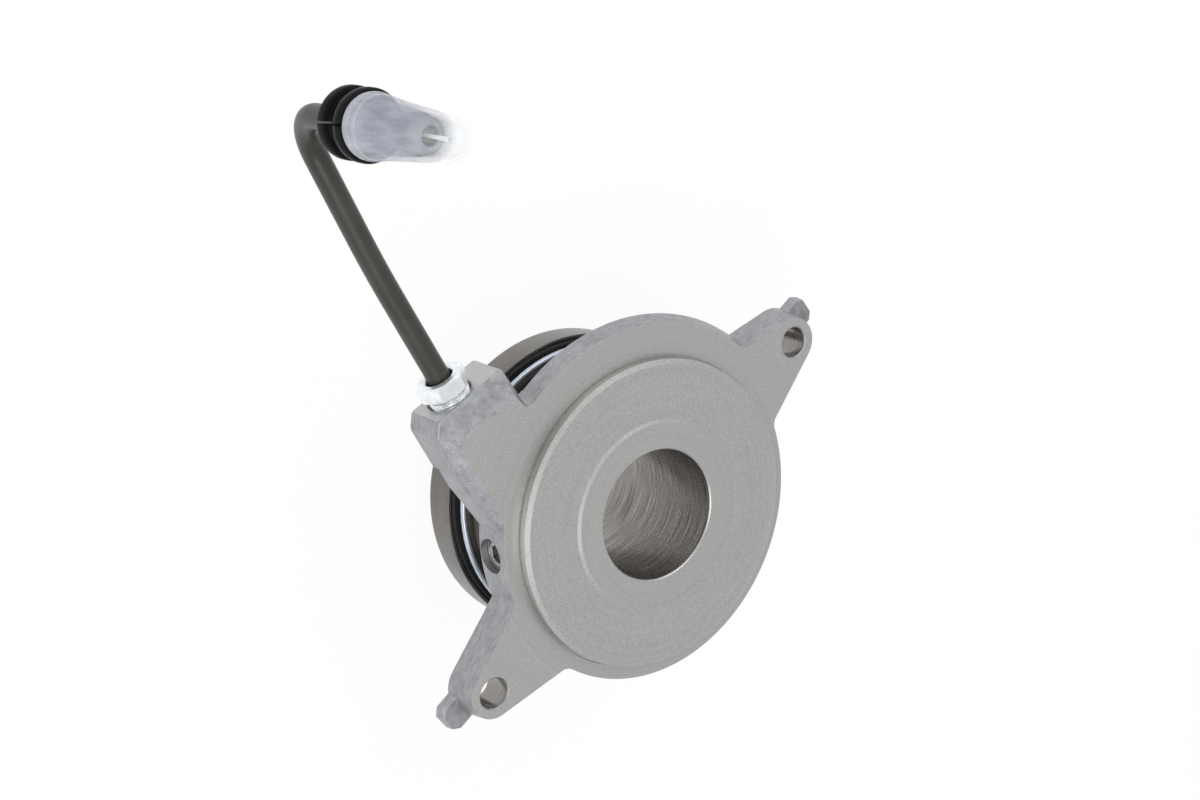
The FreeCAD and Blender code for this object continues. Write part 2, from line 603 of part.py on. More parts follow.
def make_spring():
    """Preload spring: a closed coil at each end and one open turn between them."""
    wire_radius = size("wire_radius")
    coil = size("coil_radius")
    closed = 2 * wire_radius + size("coil_clearance")
    low = -size("seat_top_depth") + wire_radius + size("coil_clearance")
    high = -size("rim_depth") - wire_radius - size("coil_clearance")
    rise = high - low - 2 * closed
    points = []
    steps = 12
    for step in range(3 * steps + 1):
        turn = step / steps
        angle = math.radians(size("coil_start")) + 2 * math.pi * turn
        open_turn = min(max(turn - 1, 0), 1)
        eased = open_turn - 0.8 * math.sin(2 * math.pi * open_turn) / (2 * math.pi)
        level = low + closed * (min(turn, 1) + max(turn - 2, 0)) + rise * eased
        points.append(Vector(coil * math.cos(angle), coil * math.sin(angle), level))
    curve = Part.BSplineCurve()
    curve.interpolate(points)
    path = Part.Wire([curve.toShape()])
    heading = path.Edges[0].tangentAt(path.Edges[0].FirstParameter)
    section = Part.Wire(Part.makeCircle(wire_radius, points[0], heading))
    spring = doc.addObject("Part::Feature", "preload_spring")
    spring.Label = "preload_spring"
    sweep = Part.BRepOffsetAPI.MakePipeShell(path)
    sweep.setFrenetMode(True)
    sweep.add(section)
    sweep.build()
    sweep.makeSolid()
    spring.Shape = sweep.shape()
    return spring


def make_boot():
    """Rubber dust boot between the cylinder and the spring seat."""
    body = new_body("dust_boot")
    folds = int(size("boot_folds"))
    cuff_inner = "%s - boot_groove" % CYLINDER_OUTER
    start = "(boot_cuff_depth + boot_cuff)"
    foot = "(seat_top_depth - 2 * seat_gap)"
    step = "((%s - boot_wall - %s) / %d)" % (foot, start, 2 * folds)
    outer = [(cuff_inner, "-boot_cuff_depth"), ("boot_root", "-boot_cuff_depth")]
    inner = [(cuff_inner, "-" + start)]
    for index in range(2 * folds):
        crest = index % 2 == 1
        radius = "boot_crest" if crest else "boot_root"
        depth = "-(%s + %s * %d)" % (start, step, index)
        outer.append((radius, depth))
        inner.append(("%s - boot_wall" % radius, depth))
    inner[1] = ("boot_root - boot_wall * 0.9", "-(%s + boot_wall * 0.2)" % start)
    inner.insert(1, ("%s + 2 * slide_gap" % CYLINDER_OUTER, "-" + start))
    last = "-(%s - boot_wall)" % foot
    outer.extend([("boot_root + boot_wall", last), ("boot_crest", last), ("boot_crest", "-" + foot)])
    inner.append(("boot_root + boot_wall * 0.2", "-" + foot))
    revolve(body, "BootSection", outer + inner[::-1])


def make_bearing():
    """Angular-contact release bearing: fixed race, turning contact race, balls, cage and shield."""
    wall = "pitch_radius + race_gap"
    race_end = "%s + race_height" % SHELL_BASE
    shield_bore = "%s + shield_width" % wall
    groove_radius = "ball_radius + race_fit"

    outer = new_body("bearing_outer_race")
    revolve(outer, "OuterSection", [
        ("race_bore", "-" + SHELL_BASE),
        ("race_outer", "-" + SHELL_BASE),
        ("race_outer", "-(%s)" % race_end),
        (shield_bore, "-(%s)" % race_end),
        (shield_bore, "-(%s - shield_seat)" % race_end),
        (wall, "-(%s - shield_seat)" % race_end),
        (wall, "-(%s + race_flange)" % SHELL_BASE),
        ("race_bore", "-(%s + race_flange)" % SHELL_BASE),
    ])
    track(outer, groove_radius)

    inner_wall = "pitch_radius - race_gap"
    flange_top = "%s + ball_radius - race_dip" % BALL_DEPTH
    flange_edge = "pitch_radius + contact_flange"
    contact = new_body("bearing_contact_race")
    revolve(contact, "ContactSection", [
        ("contact_bore", "-(%s + contact_start)" % SHELL_BASE),
        (inner_wall, "-(%s + contact_start)" % SHELL_BASE),
        (inner_wall, "-(%s)" % flange_top),
        (flange_edge, "-(%s)" % flange_top),
        (flange_edge, "-(%s - contact_nose)" % CONTACT_FACE),
        ("%s - contact_nose * 0.35" % flange_edge, "-(%s - contact_nose * 0.3)" % CONTACT_FACE),
        ("%s - contact_nose" % flange_edge, "-" + CONTACT_FACE),
        ("contact_bore + contact_nose", "-" + CONTACT_FACE),
        ("contact_bore + contact_nose * 0.35", "-(%s - contact_nose * 0.3)" % CONTACT_FACE),
        ("contact_bore", "-(%s - contact_nose)" % CONTACT_FACE),
    ])
    track(contact, groove_radius)

    balls = new_body("bearing_balls")
    balls.AllowCompound = True
    ball = primitive(balls, "AdditiveSphere", "Ball", {"Radius": "ball_radius"},
                     "pitch_radius", "0", "-" + BALL_DEPTH)
    repeat(balls, "BallRow", [ball], "ball_count")

    cage = new_body("ball_cage")
    cage_top = "%s + race_flange + cage_gap" % SHELL_BASE
    finger_half = "race_gap - cage_gap"
    revolve(cage, "CageSection", [
        ("cage_bore", "-(%s)" % cage_top),
        ("pitch_radius + %s" % finger_half, "-(%s)" % cage_top),
        ("pitch_radius + %s" % finger_half, "-(%s + cage_finger)" % cage_top),
        ("pitch_radius - %s" % finger_half, "-(%s + cage_finger)" % cage_top),
        ("pitch_radius - %s" % finger_half, "-(%s + contact_start - cage_gap)" % SHELL_BASE),
        ("cage_bore", "-(%s + contact_start - cage_gap)" % SHELL_BASE),
    ])
    pocket_ball = primitive(cage, "SubtractiveSphere", "BallPocket", {"Radius": "ball_radius + cage_fit"},
                            "pitch_radius", "0", "-" + BALL_DEPTH)
    repeat(cage, "BallPockets", [pocket_ball], "ball_count")

    shield = new_body("bearing_seal")
    lip = "pitch_radius + contact_flange + shield_gap"
    revolve(shield, "ShieldSection", [
        (lip, "-(%s - shield_seat * 0.7)" % race_end),
        (wall + " + 0.4", "-(%s - shield_seat)" % race_end),
        (shield_bore, "-(%s - shield_seat)" % race_end),
        (shield_bore, "-(%s - shield_seat * 0.2)" % race_end),
        (wall + " + 0.4", "-(%s - shield_seat * 0.2)" % race_end),
        (lip, "-(%s - shield_seat * 0.4)" % race_end),
    ])


def track(body, radius):
    """Ball track turned into a race."""
    sketch = circle(new_sketch(body, "TrackSection"), "pitch_radius", "-" + BALL_DEPTH, radius)
    doc.recompute()
    groove = body.newObject("PartDesign::Groove", "BallTrack")
    groove.Profile = sketch
    groove.ReferenceAxis = (sketch, ["V_Axis"])
    groove.Angle = 360
    doc.recompute()


def make_plug():
    """Screw plug with a hexagon socket that closes the cross drilling, and its sealing ring."""
    face = "(rim_radius - plug_sink)"
    root = "(rim_radius - spotface_depth - plug_length + 0.3)"
    plug = new_body("hex_socket_plug")
    revolve(plug, "PlugSection", [
        ("0", "0"),
        ("plug_radius - plug_bevel", "0"),
        ("plug_radius", "plug_bevel"),
        ("plug_radius", "%s - %s - plug_bevel" % (face, root)),
        ("plug_radius - plug_bevel", "%s - %s" % (face, root)),
        ("0", "%s - %s" % (face, root)),
    ])
    socket = new_sketch(plug, "SocketOutline", "XY_Plane", height="%s - %s" % (face, root))
    corner = "plug_socket / 2 / cos(30)"
    polygon(socket, [("%s * cos(%d)" % (corner, step), "%s * sin(%d)" % (corner, step))
                     for step in range(0, 360, 60)])
    pocket(plug, "Socket", socket, "plug_socket_depth")
    place(plug, "%s * cos(plug_angle)" % root, "%s * sin(plug_angle)" % root, "-plug_depth",
          yaw="plug_angle - 90", roll="-90")

    ring = new_body("plug_seal_ring")
    revolve(ring, "RingSection", [
        ("plug_radius", "0"),
        ("spotface_radius - 0.1", "0"),
        ("spotface_radius - 0.1", "plug_ring_height * 0.7"),
        ("spotface_radius - 0.3", "plug_ring_height"),
        ("plug_radius", "plug_ring_height"),
    ])
    spot = "(rim_radius - spotface_depth)"
    place(ring, "%s * cos(plug_angle)" % spot, "%s * sin(plug_angle)" % spot, "-plug_depth",
          yaw="plug_angle - 90", roll="-90")


def make_pipe_nut():
    """Union nut: domed hexagon, threaded shank below it, clearance bore for the pipe."""
    nut = new_body("pipe_nut")
    hexagon = new_sketch(nut, "Hexagon", "XY_Plane", height="nut_gap")
    corner = "nut_flats / 2 / cos(30)"
    polygon(hexagon, [("%s * cos(%d - nut_turn)" % (corner, step), "%s * sin(%d - nut_turn)" % (corner, step))
                      for step in range(0, 360, 60)])
    pad(nut, "HexPad", hexagon, "nut_height")
    top = "nut_gap + nut_height"
    revolve(nut, "Crown", [
        ("nut_flats / 2 - 0.3", top),
        ("nut_flats / 2 + 1.5", "%s - nut_crown * 1.45" % top),
        ("nut_flats / 2 + 1.5", top + " + 1"),
        ("nut_flats / 2 - 0.3", top + " + 1"),
    ], cut=True)
    revolve(nut, "Shank", [
        ("0.5", "-nut_shank_length"),
        ("nut_shank - 0.6", "-nut_shank_length"),
        ("nut_shank", "-(nut_shank_length - 0.6)"),
        ("nut_shank", "nut_gap + 0.2"),
        ("0.5", "nut_gap + 0.2"),
    ])
    drill = new_sketch(nut, "PipeHole", "XY_Plane", height="-(nut_shank_length + 1)")
    circle(drill, "0", "0", "nut_bore")
    pocket(nut, "PipeBore", drill, "nut_shank_length + nut_gap + nut_height + 2", up=True)
    place(nut, "port_x", "port_y", "-port_depth", yaw="-port_angle", roll="-90")


def pipe_path(start_back, end_height):
    """Pipe's centre line: out of the port, a slight kink, the long run and the bend up to its end."""
    angle = math.radians(size("port_angle"))
    turned = math.radians(size(RUN_ANGLE))
    ahead = Vector(math.sin(angle), math.cos(angle), 0)
    onward = Vector(math.sin(turned), math.cos(turned), 0)
    up = Vector(0, 0, 1)
    port = Vector(size("port_x"), size("port_y"), -size("port_depth"))
    kink = port + ahead * size("pipe_run")
    corner = kink + onward * size("pipe_reach")
    top = Vector(corner.x, corner.y, end_height)
    edges = []
    here = port - ahead * start_back
    for point, before, after, radius in (
            (kink, ahead, onward, size("pipe_kink_radius")),
            (corner, onward, up, size("pipe_bend"))):
        half = before.getAngle(after) / 2
        back = radius * math.tan(half)
        first = point - before * back
        last = point + after * back
        inward = (after - before).normalize()
        middle = point + inward * (radius / math.cos(half) - radius)
        edges.append(Part.LineSegment(here, first).toShape())
        edges.append(Part.Arc(first, middle, last).toShape())
        here = last
    edges.append(Part.LineSegment(here, top).toShape())
    return Part.Wire(edges), ahead


def make_pipe():
    """Coated steel tube, flared inside the port and bent up through the grommet."""
    back = size("nut_shank_length") + 0.6
    path, ahead = pipe_path(back, size("pipe_top"))
    start = path.Edges[0].valueAt(path.Edges[0].FirstParameter)
    solids = []
    for radius in (size("pipe_radius"), size("pipe_radius") - size("pipe_wall")):
        sweep = Part.BRepOffsetAPI.MakePipeShell(path)
        sweep.setFrenetMode(True)
        sweep.add(Part.Wire(Part.makeCircle(radius, start, ahead)))
        sweep.build()
        sweep.makeSolid()
        solids.append(sweep.shape())
    flare_radius = size("nut_shank") - 0.2
    bead_length = size("flare_length")
    flare = Part.makeCone(flare_radius, size("pipe_radius"), size("flare_slope"), start, ahead)
    bead = Part.makeCylinder(flare_radius, bead_length, start - ahead * bead_length, ahead)
    outside = solids[0].fuse([flare, bead])
    mouth = Part.makeCylinder(radius, 3 * bead_length, start - ahead * 1.5 * bead_length, ahead)
    pipe = doc.addObject("Part::Feature", "pipe")
    pipe.Label = "pipe"
    pipe.Shape = outside.cut([solids[1], mouth]).removeSplitter()


def make_grommet():
    """Rubber bell-housing grommet, slit so that it can be pushed over the pipe."""
    body = new_body("pipe_grommet")
    base = "grommet_base"
    neck = "grommet_base + grommet_flange"
    upper = "grommet_base + grommet_flange + grommet_groove"
    revolve(body, "GrommetSection", [
        ("pipe_radius", base),
        ("grommet_radius - grommet_edge", base),
        ("grommet_radius", base + " + grommet_edge"),
        ("grommet_radius", neck + " - grommet_edge"),
        ("grommet_radius - grommet_edge", neck),
        ("grommet_neck", neck),
        ("grommet_neck", upper),
        ("grommet_radius - grommet_edge", upper),
        ("grommet_radius", upper + " + grommet_edge"),
        ("grommet_radius", GROMMET_TOP + " - grommet_edge"),
        ("grommet_radius - grommet_edge", GROMMET_TOP),
        ("pipe_radius", GROMMET_TOP),
    ])
    slit = new_sketch(body, "SlitOutline", "XY_Plane", height=GROMMET_TOP + " + 1")
    half = "(grommet_slit / 2)"
    reach = "(grommet_radius + 2)"
    across = ("sin(grommet_slit_angle)", "-cos(grommet_slit_angle)")
    along = ("cos(grommet_slit_angle)", "sin(grommet_slit_angle)")
    polygon(slit, [
        ("%s * %s" % (half, across[0]), "%s * %s" % (half, across[1])),
        ("%s * %s + %s * %s" % (half, across[0], reach, along[0]),
         "%s * %s + %s * %s" % (half, across[1], reach, along[1])),
        ("-%s * %s + %s * %s" % (half, across[0], reach, along[0]),
         "-%s * %s + %s * %s" % (half, across[1], reach, along[1])),
        ("-%s * %s" % (half, across[0]), "-%s * %s" % (half, across[1])),
    ])
    pocket(body, "Slit", slit, GROMMET_TOP + " - grommet_base + 2")
    place(body, PIPE_X, PIPE_Y, "0")


def make_end_fitting():
    """Plug-in end of the pipe with its O-ring, under the transport cap."""
    fitting = new_body("pipe_end_fitting")
    groove_mid = "fitting_top - oring_drop"
    groove_half = "oring_radius * 1.2"
    groove_floor = "fitting_radius - oring_radius * 2 + oring_sink"
    collar_top = "%s + fitting_collar_height" % GROMMET_TOP
    revolve(fitting, "FittingSection", [
        ("pipe_radius", GROMMET_TOP),
        ("fitting_collar", GROMMET_TOP),
        ("fitting_collar", collar_top),
        ("fitting_radius", collar_top + " + 0.6"),
        ("fitting_radius", "%s - %s" % (groove_mid, groove_half)),
        (groove_floor, "%s - %s" % (groove_mid, groove_half)),
        (groove_floor, "%s + %s" % (groove_mid, groove_half)),
        ("fitting_radius", "%s + %s" % (groove_mid, groove_half)),
        ("fitting_radius", "fitting_top - 0.8"),
        ("fitting_radius - 0.8", "fitting_top"),
        ("pipe_radius - pipe_wall", "fitting_top"),
        ("pipe_radius - pipe_wall", "pipe_top"),
        ("pipe_radius", "pipe_top"),
    ])
    place(fitting, PIPE_X, PIPE_Y, "0")

    oring = doc.addObject("Part::Torus", "fitting_oring")
    oring.Label = "fitting_oring"
    oring.setExpression("Radius1", bind("%s + oring_radius + 0.02" % groove_floor))
    oring.setExpression("Radius2", bind("oring_radius"))
    oring.setExpression("Placement", bind("create(<<placement>>; create(<<vector>>; %s; %s; %s);"
                                          " create(<<rotation>>; 0; 0; 0))" % (PIPE_X, PIPE_Y, groove_mid)))


def make_cap():
    """Translucent transport cap: beaded mouth, tapered body and rounded tip."""
    body = new_body("transport_cap")
    base = CAP_BASE
    tip = "%s + cap_length" % base
    shoulder = "%s + cap_step" % base
    dome = "(cap_tip * 0.95)"
    outer = [
        ("cap_mouth - 0.25", base),
        ("cap_mouth", "%s + 0.25" % base),
        ("cap_mouth", "%s + cap_bead - 0.3" % base),
        ("cap_neck", "%s + cap_bead" % base),
        ("cap_neck", "%s + cap_bead + 0.9" % base),
        ("cap_neck + 0.25", "%s + cap_bead + 1.1" % base),
        ("cap_neck + 0.25", "%s - 0.3" % shoulder),
        ("cap_neck", shoulder),
        ("cap_tip", "%s - %s" % (tip, dome)),
    ]
    steps = (22.5, 45.0, 67.5)
    for angle in steps:
        outer.append(("cap_tip * cos(%g)" % angle, "%s - %s * (1 - sin(%g))" % (tip, dome, angle)))
    outer.append(("0", tip))
    inner = [("0", "%s - cap_wall" % tip)]
    for angle in steps[::-1]:
        inner.append(("(cap_tip - cap_wall) * cos(%g)" % angle,
                      "%s - cap_wall - (%s - cap_wall) * (1 - sin(%g))" % (tip, dome, angle)))
    inner.extend([
        ("cap_tip - cap_wall", "%s - %s" % (tip, dome)),
        ("cap_neck - cap_wall", shoulder),
        ("cap_neck - cap_wall + 0.1", base),
    ])
    revolve(body, "CapSection", outer + inner)
    place(body, PIPE_X, PIPE_Y, "0")


make_housing()
make_annulus_pieces()
make_snap_ring()
make_bearing_shell()
make_spring_seat()
make_spring()
make_boot()
make_bearing()
make_plug()
make_pipe_nut()
make_pipe()
make_grommet()
make_end_fitting()
make_cap()
doc.recompute()

PIECES = [
    "housing", "piston_seal", "seal_support_ring", "piston", "retaining_ring", "bearing_shell",
    "spring_seat", "preload_spring", "dust_boot", "bearing_outer_race", "bearing_contact_race",
    "bearing_balls", "ball_cage", "bearing_seal", "hex_socket_plug", "plug_seal_ring", "pipe_nut",
    "pipe", "pipe_grommet", "pipe_end_fitting", "fitting_oring", "transport_cap",
]

for item in doc.Objects:
    if "Invalid" in item.State or "Error" in item.State:
        raise RuntimeError("%s failed: %s" % (item.Name, item.State))

os.makedirs("parts", exist_ok=True)
for label in PIECES:
    piece = doc.getObjectsByLabel(label)[0]
    shape = piece.Shape
    if shape.isNull() or not shape.isValid():
        raise RuntimeError("%s has no valid shape" % label)
    box = shape.BoundBox
    print("%-22s solids %2d volume %9.1f  x %7.2f %7.2f  y %7.2f %7.2f  z %7.2f %7.2f" % (
        label, len(shape.Solids), shape.Volume, box.XMin, box.XMax, box.YMin, box.YMax, box.ZMin, box.ZMax))
    shape.exportStep("parts/%s.step" % label)
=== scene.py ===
import bpy
import bmesh
import math
from mathutils import Matrix, Vector


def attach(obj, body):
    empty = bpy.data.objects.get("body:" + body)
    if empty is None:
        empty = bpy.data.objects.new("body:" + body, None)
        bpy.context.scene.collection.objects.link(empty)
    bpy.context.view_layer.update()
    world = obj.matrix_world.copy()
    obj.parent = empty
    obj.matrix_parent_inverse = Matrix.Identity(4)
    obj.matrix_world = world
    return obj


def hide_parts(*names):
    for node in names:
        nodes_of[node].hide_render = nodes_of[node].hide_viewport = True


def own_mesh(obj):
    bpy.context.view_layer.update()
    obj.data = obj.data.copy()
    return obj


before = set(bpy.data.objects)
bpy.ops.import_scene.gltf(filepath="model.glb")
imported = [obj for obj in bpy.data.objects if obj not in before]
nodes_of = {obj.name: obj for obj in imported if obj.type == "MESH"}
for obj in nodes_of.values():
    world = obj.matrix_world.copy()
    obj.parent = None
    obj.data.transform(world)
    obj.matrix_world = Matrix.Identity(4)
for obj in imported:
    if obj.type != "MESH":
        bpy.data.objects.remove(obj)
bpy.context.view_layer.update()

# Housing.
# The casting that carries everything: rim, two bolt ears, port boss, cylinder and guide sleeve.
# Pressure die-cast aluminium with the grey, mottled skin of the die; the mounting face,
# spigot, bore and holes are then machined, so those are fine and even.
MM = 0.001
BORE = 15.0
SPIGOT = 35.4
RIM = 39.1
RIM_DEPTH = 10.0
EAR_REACH = 53.66
EAR_END = 5.75
EAR_FLARE = math.radians(16.7)
EAR_ROOT_FILLET = 3.0
EAR_DEPTH = 8.0
EAR_DRAFT = math.radians(8.0)
EAR_HOLE = 3.45
LIP = 43.1
STOCK = 0.8
SPOT_DEPTH = 2.4
PLUG_SINK = 1.8
PORT = Vector((-16.9, 54.9, -7.5))
PORT_ANGLE = math.radians(8.0)
PLUG_ANGLE = math.radians(148.0)
PLUG_DEPTH = 5.8
PLUG_LENGTH = 7.5
PLUG = 3.3


def to_object(name, bm):
    """Put a bmesh in millimetres into the scene as an object in metres."""
    bmesh.ops.scale(bm, vec=(MM, MM, MM), verts=bm.verts)
    mesh = bpy.data.meshes.new(name)
    bm.to_mesh(mesh)
    bm.free()
    piece = bpy.data.objects.new(name, mesh)
    bpy.context.scene.collection.objects.link(piece)
    return piece


def wrap(bm, rings, closed):
    """Faces between neighbouring rings, with end faces where the rings don't close."""
    corners = len(rings[0])
    pairs = list(zip(rings, rings[1:]))
    if closed:
        pairs.append((rings[-1], rings[0]))
    for here, there in pairs:
        for k in range(corners):
            loop = [here[k], there[k], there[(k + 1) % corners], here[(k + 1) % corners]]
            seen = list(dict.fromkeys(loop))
            if len(seen) > 2:
                bm.faces.new(seen)
    if not closed:
        bm.faces.new(rings[0])
        bm.faces.new(rings[-1][::-1])
    bmesh.ops.recalc_face_normals(bm, faces=bm.faces)


def turned(name, profile, steps=192, start=0.0, sweep=360.0, centre=(0.0, 0.0)):
    """Closed section of (radius, height) points turned about Z, or about a line beside it."""
    bm = bmesh.new()
    whole = sweep >= 360.0
    rings = []
    for step in range(steps if whole else steps + 1):
        angle = math.radians(start + sweep * step / steps)
        ring = []
        for radius, height in profile:
            if radius < 1e-6 and rings:
                ring.append(rings[0][len(ring)])
                continue
            x = centre[0] + radius * math.cos(angle)
            y = centre[1] + radius * math.sin(angle)
            ring.append(bm.verts.new((x, y, height)))
        rings.append(ring)
    wrap(bm, rings, whole)
    return to_object(name, bm)


def block(name, levels):
    """Solid through outlines of equal count at rising heights."""
    bm = bmesh.new()
    loops = [[bm.verts.new((x, y, height)) for x, y in outline] for height, outline in levels]
    bm.faces.new(loops[0])
    bm.faces.new(loops[-1])
    count = len(loops[0])
    for low, high in zip(loops, loops[1:]):
        for k in range(count):
            bm.faces.new((low[k], low[(k + 1) % count], high[(k + 1) % count], high[k]))
    bmesh.ops.recalc_face_normals(bm, faces=bm.faces)
    return to_object(name, bm)


def settle(piece):
    """Turn a piece's modifiers into plain mesh."""
    graph = bpy.context.evaluated_depsgraph_get()
    mesh = bpy.data.meshes.new_from_object(piece.evaluated_get(graph))
    piece.modifiers.clear()
    old = piece.data
    piece.data = mesh
    bpy.data.meshes.remove(old)
    return piece


def combine(piece, tools, operation):
    """Add tools to a piece or cut them out of it, and drop the tools."""
    for tool in tools:
        step = piece.modifiers.new("Step", "BOOLEAN")
        step.operation = operation
        step.solver = "EXACT"
        step.object = tool
        settle(piece)
        bpy.data.objects.remove(tool)
    return piece


def smooth(piece, degrees=32.0):
    """Shade curved walls smooth and keep real edges crisp."""
    bm = bmesh.new()
    bm.from_mesh(piece.data)
    bmesh.ops.remove_doubles(bm, verts=bm.verts, dist=2e-6)
    bm.to_mesh(piece.data)
    bm.free()
    piece.data.shade_smooth()
    piece.data.set_sharp_from_angle(angle=math.radians(degrees))
    return piece


def drill(name, radius, foot, direction, length, mouth=0.0):
    """Round tool from a foot point along a direction, widened at its far end where asked."""
    end = [(radius, length)]
    if mouth:
        end = [(radius, length - mouth), (radius + 2 * mouth, length + mouth)]
    tool = turned(name, [(0.0, 0.0), (radius, 0.0)] + end + [(0.0, length + mouth)], steps=64)
    turn = Vector((0, 0, 1)).rotation_difference(Vector(direction)).to_matrix().to_4x4()
    tool.data.transform(Matrix.Translation(Vector(foot) * MM) @ turn)
    return tool


def arc_points(centre, radius, start, end, count):
    """Points along an arc, angles in radians."""
    return [(centre[0] + radius * math.cos(start + (end - start) * k / count),
             centre[1] + radius * math.sin(start + (end - start) * k / count)) for k in range(count + 1)]


def ear_outline(height):
    """Outline at a height of the ear on +X, with the fillets that run into the rim."""
    offset = -height * math.tan(EAR_DRAFT)
    normal = Vector((math.sin(EAR_FLARE), math.cos(EAR_FLARE)))
    along = Vector((math.cos(EAR_FLARE), -math.sin(EAR_FLARE)))
    reach = EAR_REACH * math.sin(EAR_FLARE) + EAR_END + offset + EAR_ROOT_FILLET
    centre = normal * reach + along * math.sqrt((RIM + EAR_ROOT_FILLET) ** 2 - reach ** 2)
    at_rim = math.atan2(-centre.y, -centre.x)
    at_side = math.atan2(-normal.y, -normal.x)
    upper = arc_points(centre, EAR_ROOT_FILLET, at_rim, at_side, 10)
    end_angle = math.pi / 2 - EAR_FLARE
    end = arc_points((EAR_REACH, 0.0), EAR_END + offset, end_angle, -end_angle, 28)
    inside = [(RIM - 4.0, -9.0), (RIM - 4.0, 9.0)]
    return upper + end + [(x, -y) for x, y in upper[::-1]] + inside


def blend(corner, first, second, reach):
    """Outline of the cast web that rounds an inner corner between two wall directions."""
    corner, first, second = Vector(corner), Vector(first).normalized(), Vector(second).normalized()
    start, end = corner + first * reach, corner + second * reach
    curve = []
    for k in range(9):
        share = k / 8
        curve.append(start * (1 - share) ** 2 + corner * 2 * share * (1 - share) + end * share ** 2)
    return [tuple(point) for point in [corner - (first + second) * 2.0] + curve]


def lip_radius(height):
    """Outer radius of the rim's lip at a height."""
    return min(LIP + 0.4375 * -height, LIP + 1.4)


def ear_web(height):
    """Corner between the lip's edge and the right ear's flank."""
    slope = math.tan(EAR_FLARE)
    level = (EAR_END - height * math.tan(EAR_DRAFT)) / math.cos(EAR_FLARE) + EAR_REACH * slope
    reach = lip_radius(height)
    x = (slope * level + math.sqrt(reach ** 2 * (1 + slope ** 2) - level ** 2)) / (1 + slope ** 2)
    y = level - slope * x
    return blend((x, y), (math.cos(EAR_FLARE), -math.sin(EAR_FLARE)), (-y, x), 2.3)


def boss_web(height):
    """Corner between the lip's edge and the side of the port boss."""
    x = -7.75 - 0.2 * height
    y = math.sqrt(lip_radius(height) ** 2 - x ** 2)
    return blend((x, y), (-0.1, 0.995), (y, -x), 2.2)


def eased(piece, width, segments=3):
    """Round a block's edges as a die does."""
    step = piece.modifiers.new("Ease", "BEVEL")
    step.width = width * MM
    step.segments = segments
    step.limit_method = "ANGLE"
    step.angle_limit = math.radians(28.0)
    return settle(piece)


def on_port_face(offset):
    """Plan point on the port's machined face at an offset across it."""
    return (PORT.x + offset * math.cos(PORT_ANGLE), PORT.y - offset * math.sin(PORT_ANGLE))


# Rim, ears and lugs, cast proud of the face by the stock that machining takes off.
rim = turned("housing_casting", [(27.0, -RIM_DEPTH), (38.7, -RIM_DEPTH), (38.98, -9.88), (RIM, -9.6),
                                 (RIM, STOCK), (27.0, STOCK)], 256)
lug = [(EAR_REACH, -3.7), (63.41, -3.7), (65.01, -2.1), (65.01, 2.1), (63.41, 3.7), (EAR_REACH, 3.7)]
lug_top = [(EAR_REACH, -3.4), (63.1, -3.4), (64.65, -1.9), (64.65, 1.9), (63.1, 3.4), (EAR_REACH, 3.4)]
additions = []
for side in (1, -1):
    ear_top = STOCK + 0.12 + 0.06 * side
    ear_low, ear_high = [[(side * x, side * y) for x, y in ear_outline(h)] for h in (-EAR_DEPTH, ear_top)]
    additions.append(eased(block("ear", [(-EAR_DEPTH, ear_low), (ear_top, ear_high)]), 0.4))
    lug_low, lug_high = [[(side * x, side * y) for x, y in outline] for outline in (lug, lug_top)]
    additions.append(eased(block("lug", [(-EAR_DEPTH + 0.02, lug_low), (-5.3, lug_high)]), 0.3, 2))

# Thin lip between the boss and the right ear, with its rounded inner corners.
additions.append(turned("lip", [
    (34.0, 0.7), (lip_radius(0.7), 0.7), (lip_radius(-2.9), -2.9), (44.45, -3.2), (44.5, -3.5),
    (44.45, -4.0), (44.25, -4.35), (43.95, -4.6), (43.6, -4.7), (34.0, -4.7)], 128, 6.0, 99.0))
for web in (ear_web, boss_web):
    additions.append(block("web", [(h, web(h)) for h in (-4.3, -3.2, 0.62)]))

# Port boss: bevelled from the mounting face to its shoulder, square below, and a deeper keel.
face_left = on_port_face(-7.4)
face_right = on_port_face(10.8)
shoulder = [(-29.3, 25.6), (-29.1, 38.5), (face_left[0] - 2.6, face_left[1] - 2.8), face_left, face_right,
            (-7.6, 41.5), (-14.0, 30.0)]
boss_top = [(-27.6, 27.6), (-25.7, 39.8), (-23.9, 49.5), (-19.1, 49.6), (-8.1, 46.7), (-7.6, 41.5),
            (-14.0, 30.0)]
BOSS_STOCK = 0.55
boss_stock = [(a[0] + (a[0] - b[0]) * BOSS_STOCK / 1.8, a[1] + (a[1] - b[1]) * BOSS_STOCK / 1.8)
              for a, b in zip(boss_top, shoulder)]
additions.append(eased(block("boss", [(-9.98, shoulder), (-1.8, shoulder), (BOSS_STOCK, boss_stock)]), 0.45))
keel = [(-28.3, 42.5), shoulder[2], face_left, face_right, (-7.8, 42.5)]
keel_low = [(-26.3, 44.5), (face_left[0] - 0.6, face_left[1] - 2.6), (face_left[0] + 1.7, face_left[1] - 2.2),
            (face_right[0] - 2.2, face_right[1] - 1.9), (-9.8, 44.3)]
additions.append(eased(block("keel", [(-14.5, keel_low), (-12.5, keel), (-9.0, keel)]), 0.45))
housing = combine(rim, additions, "UNION")

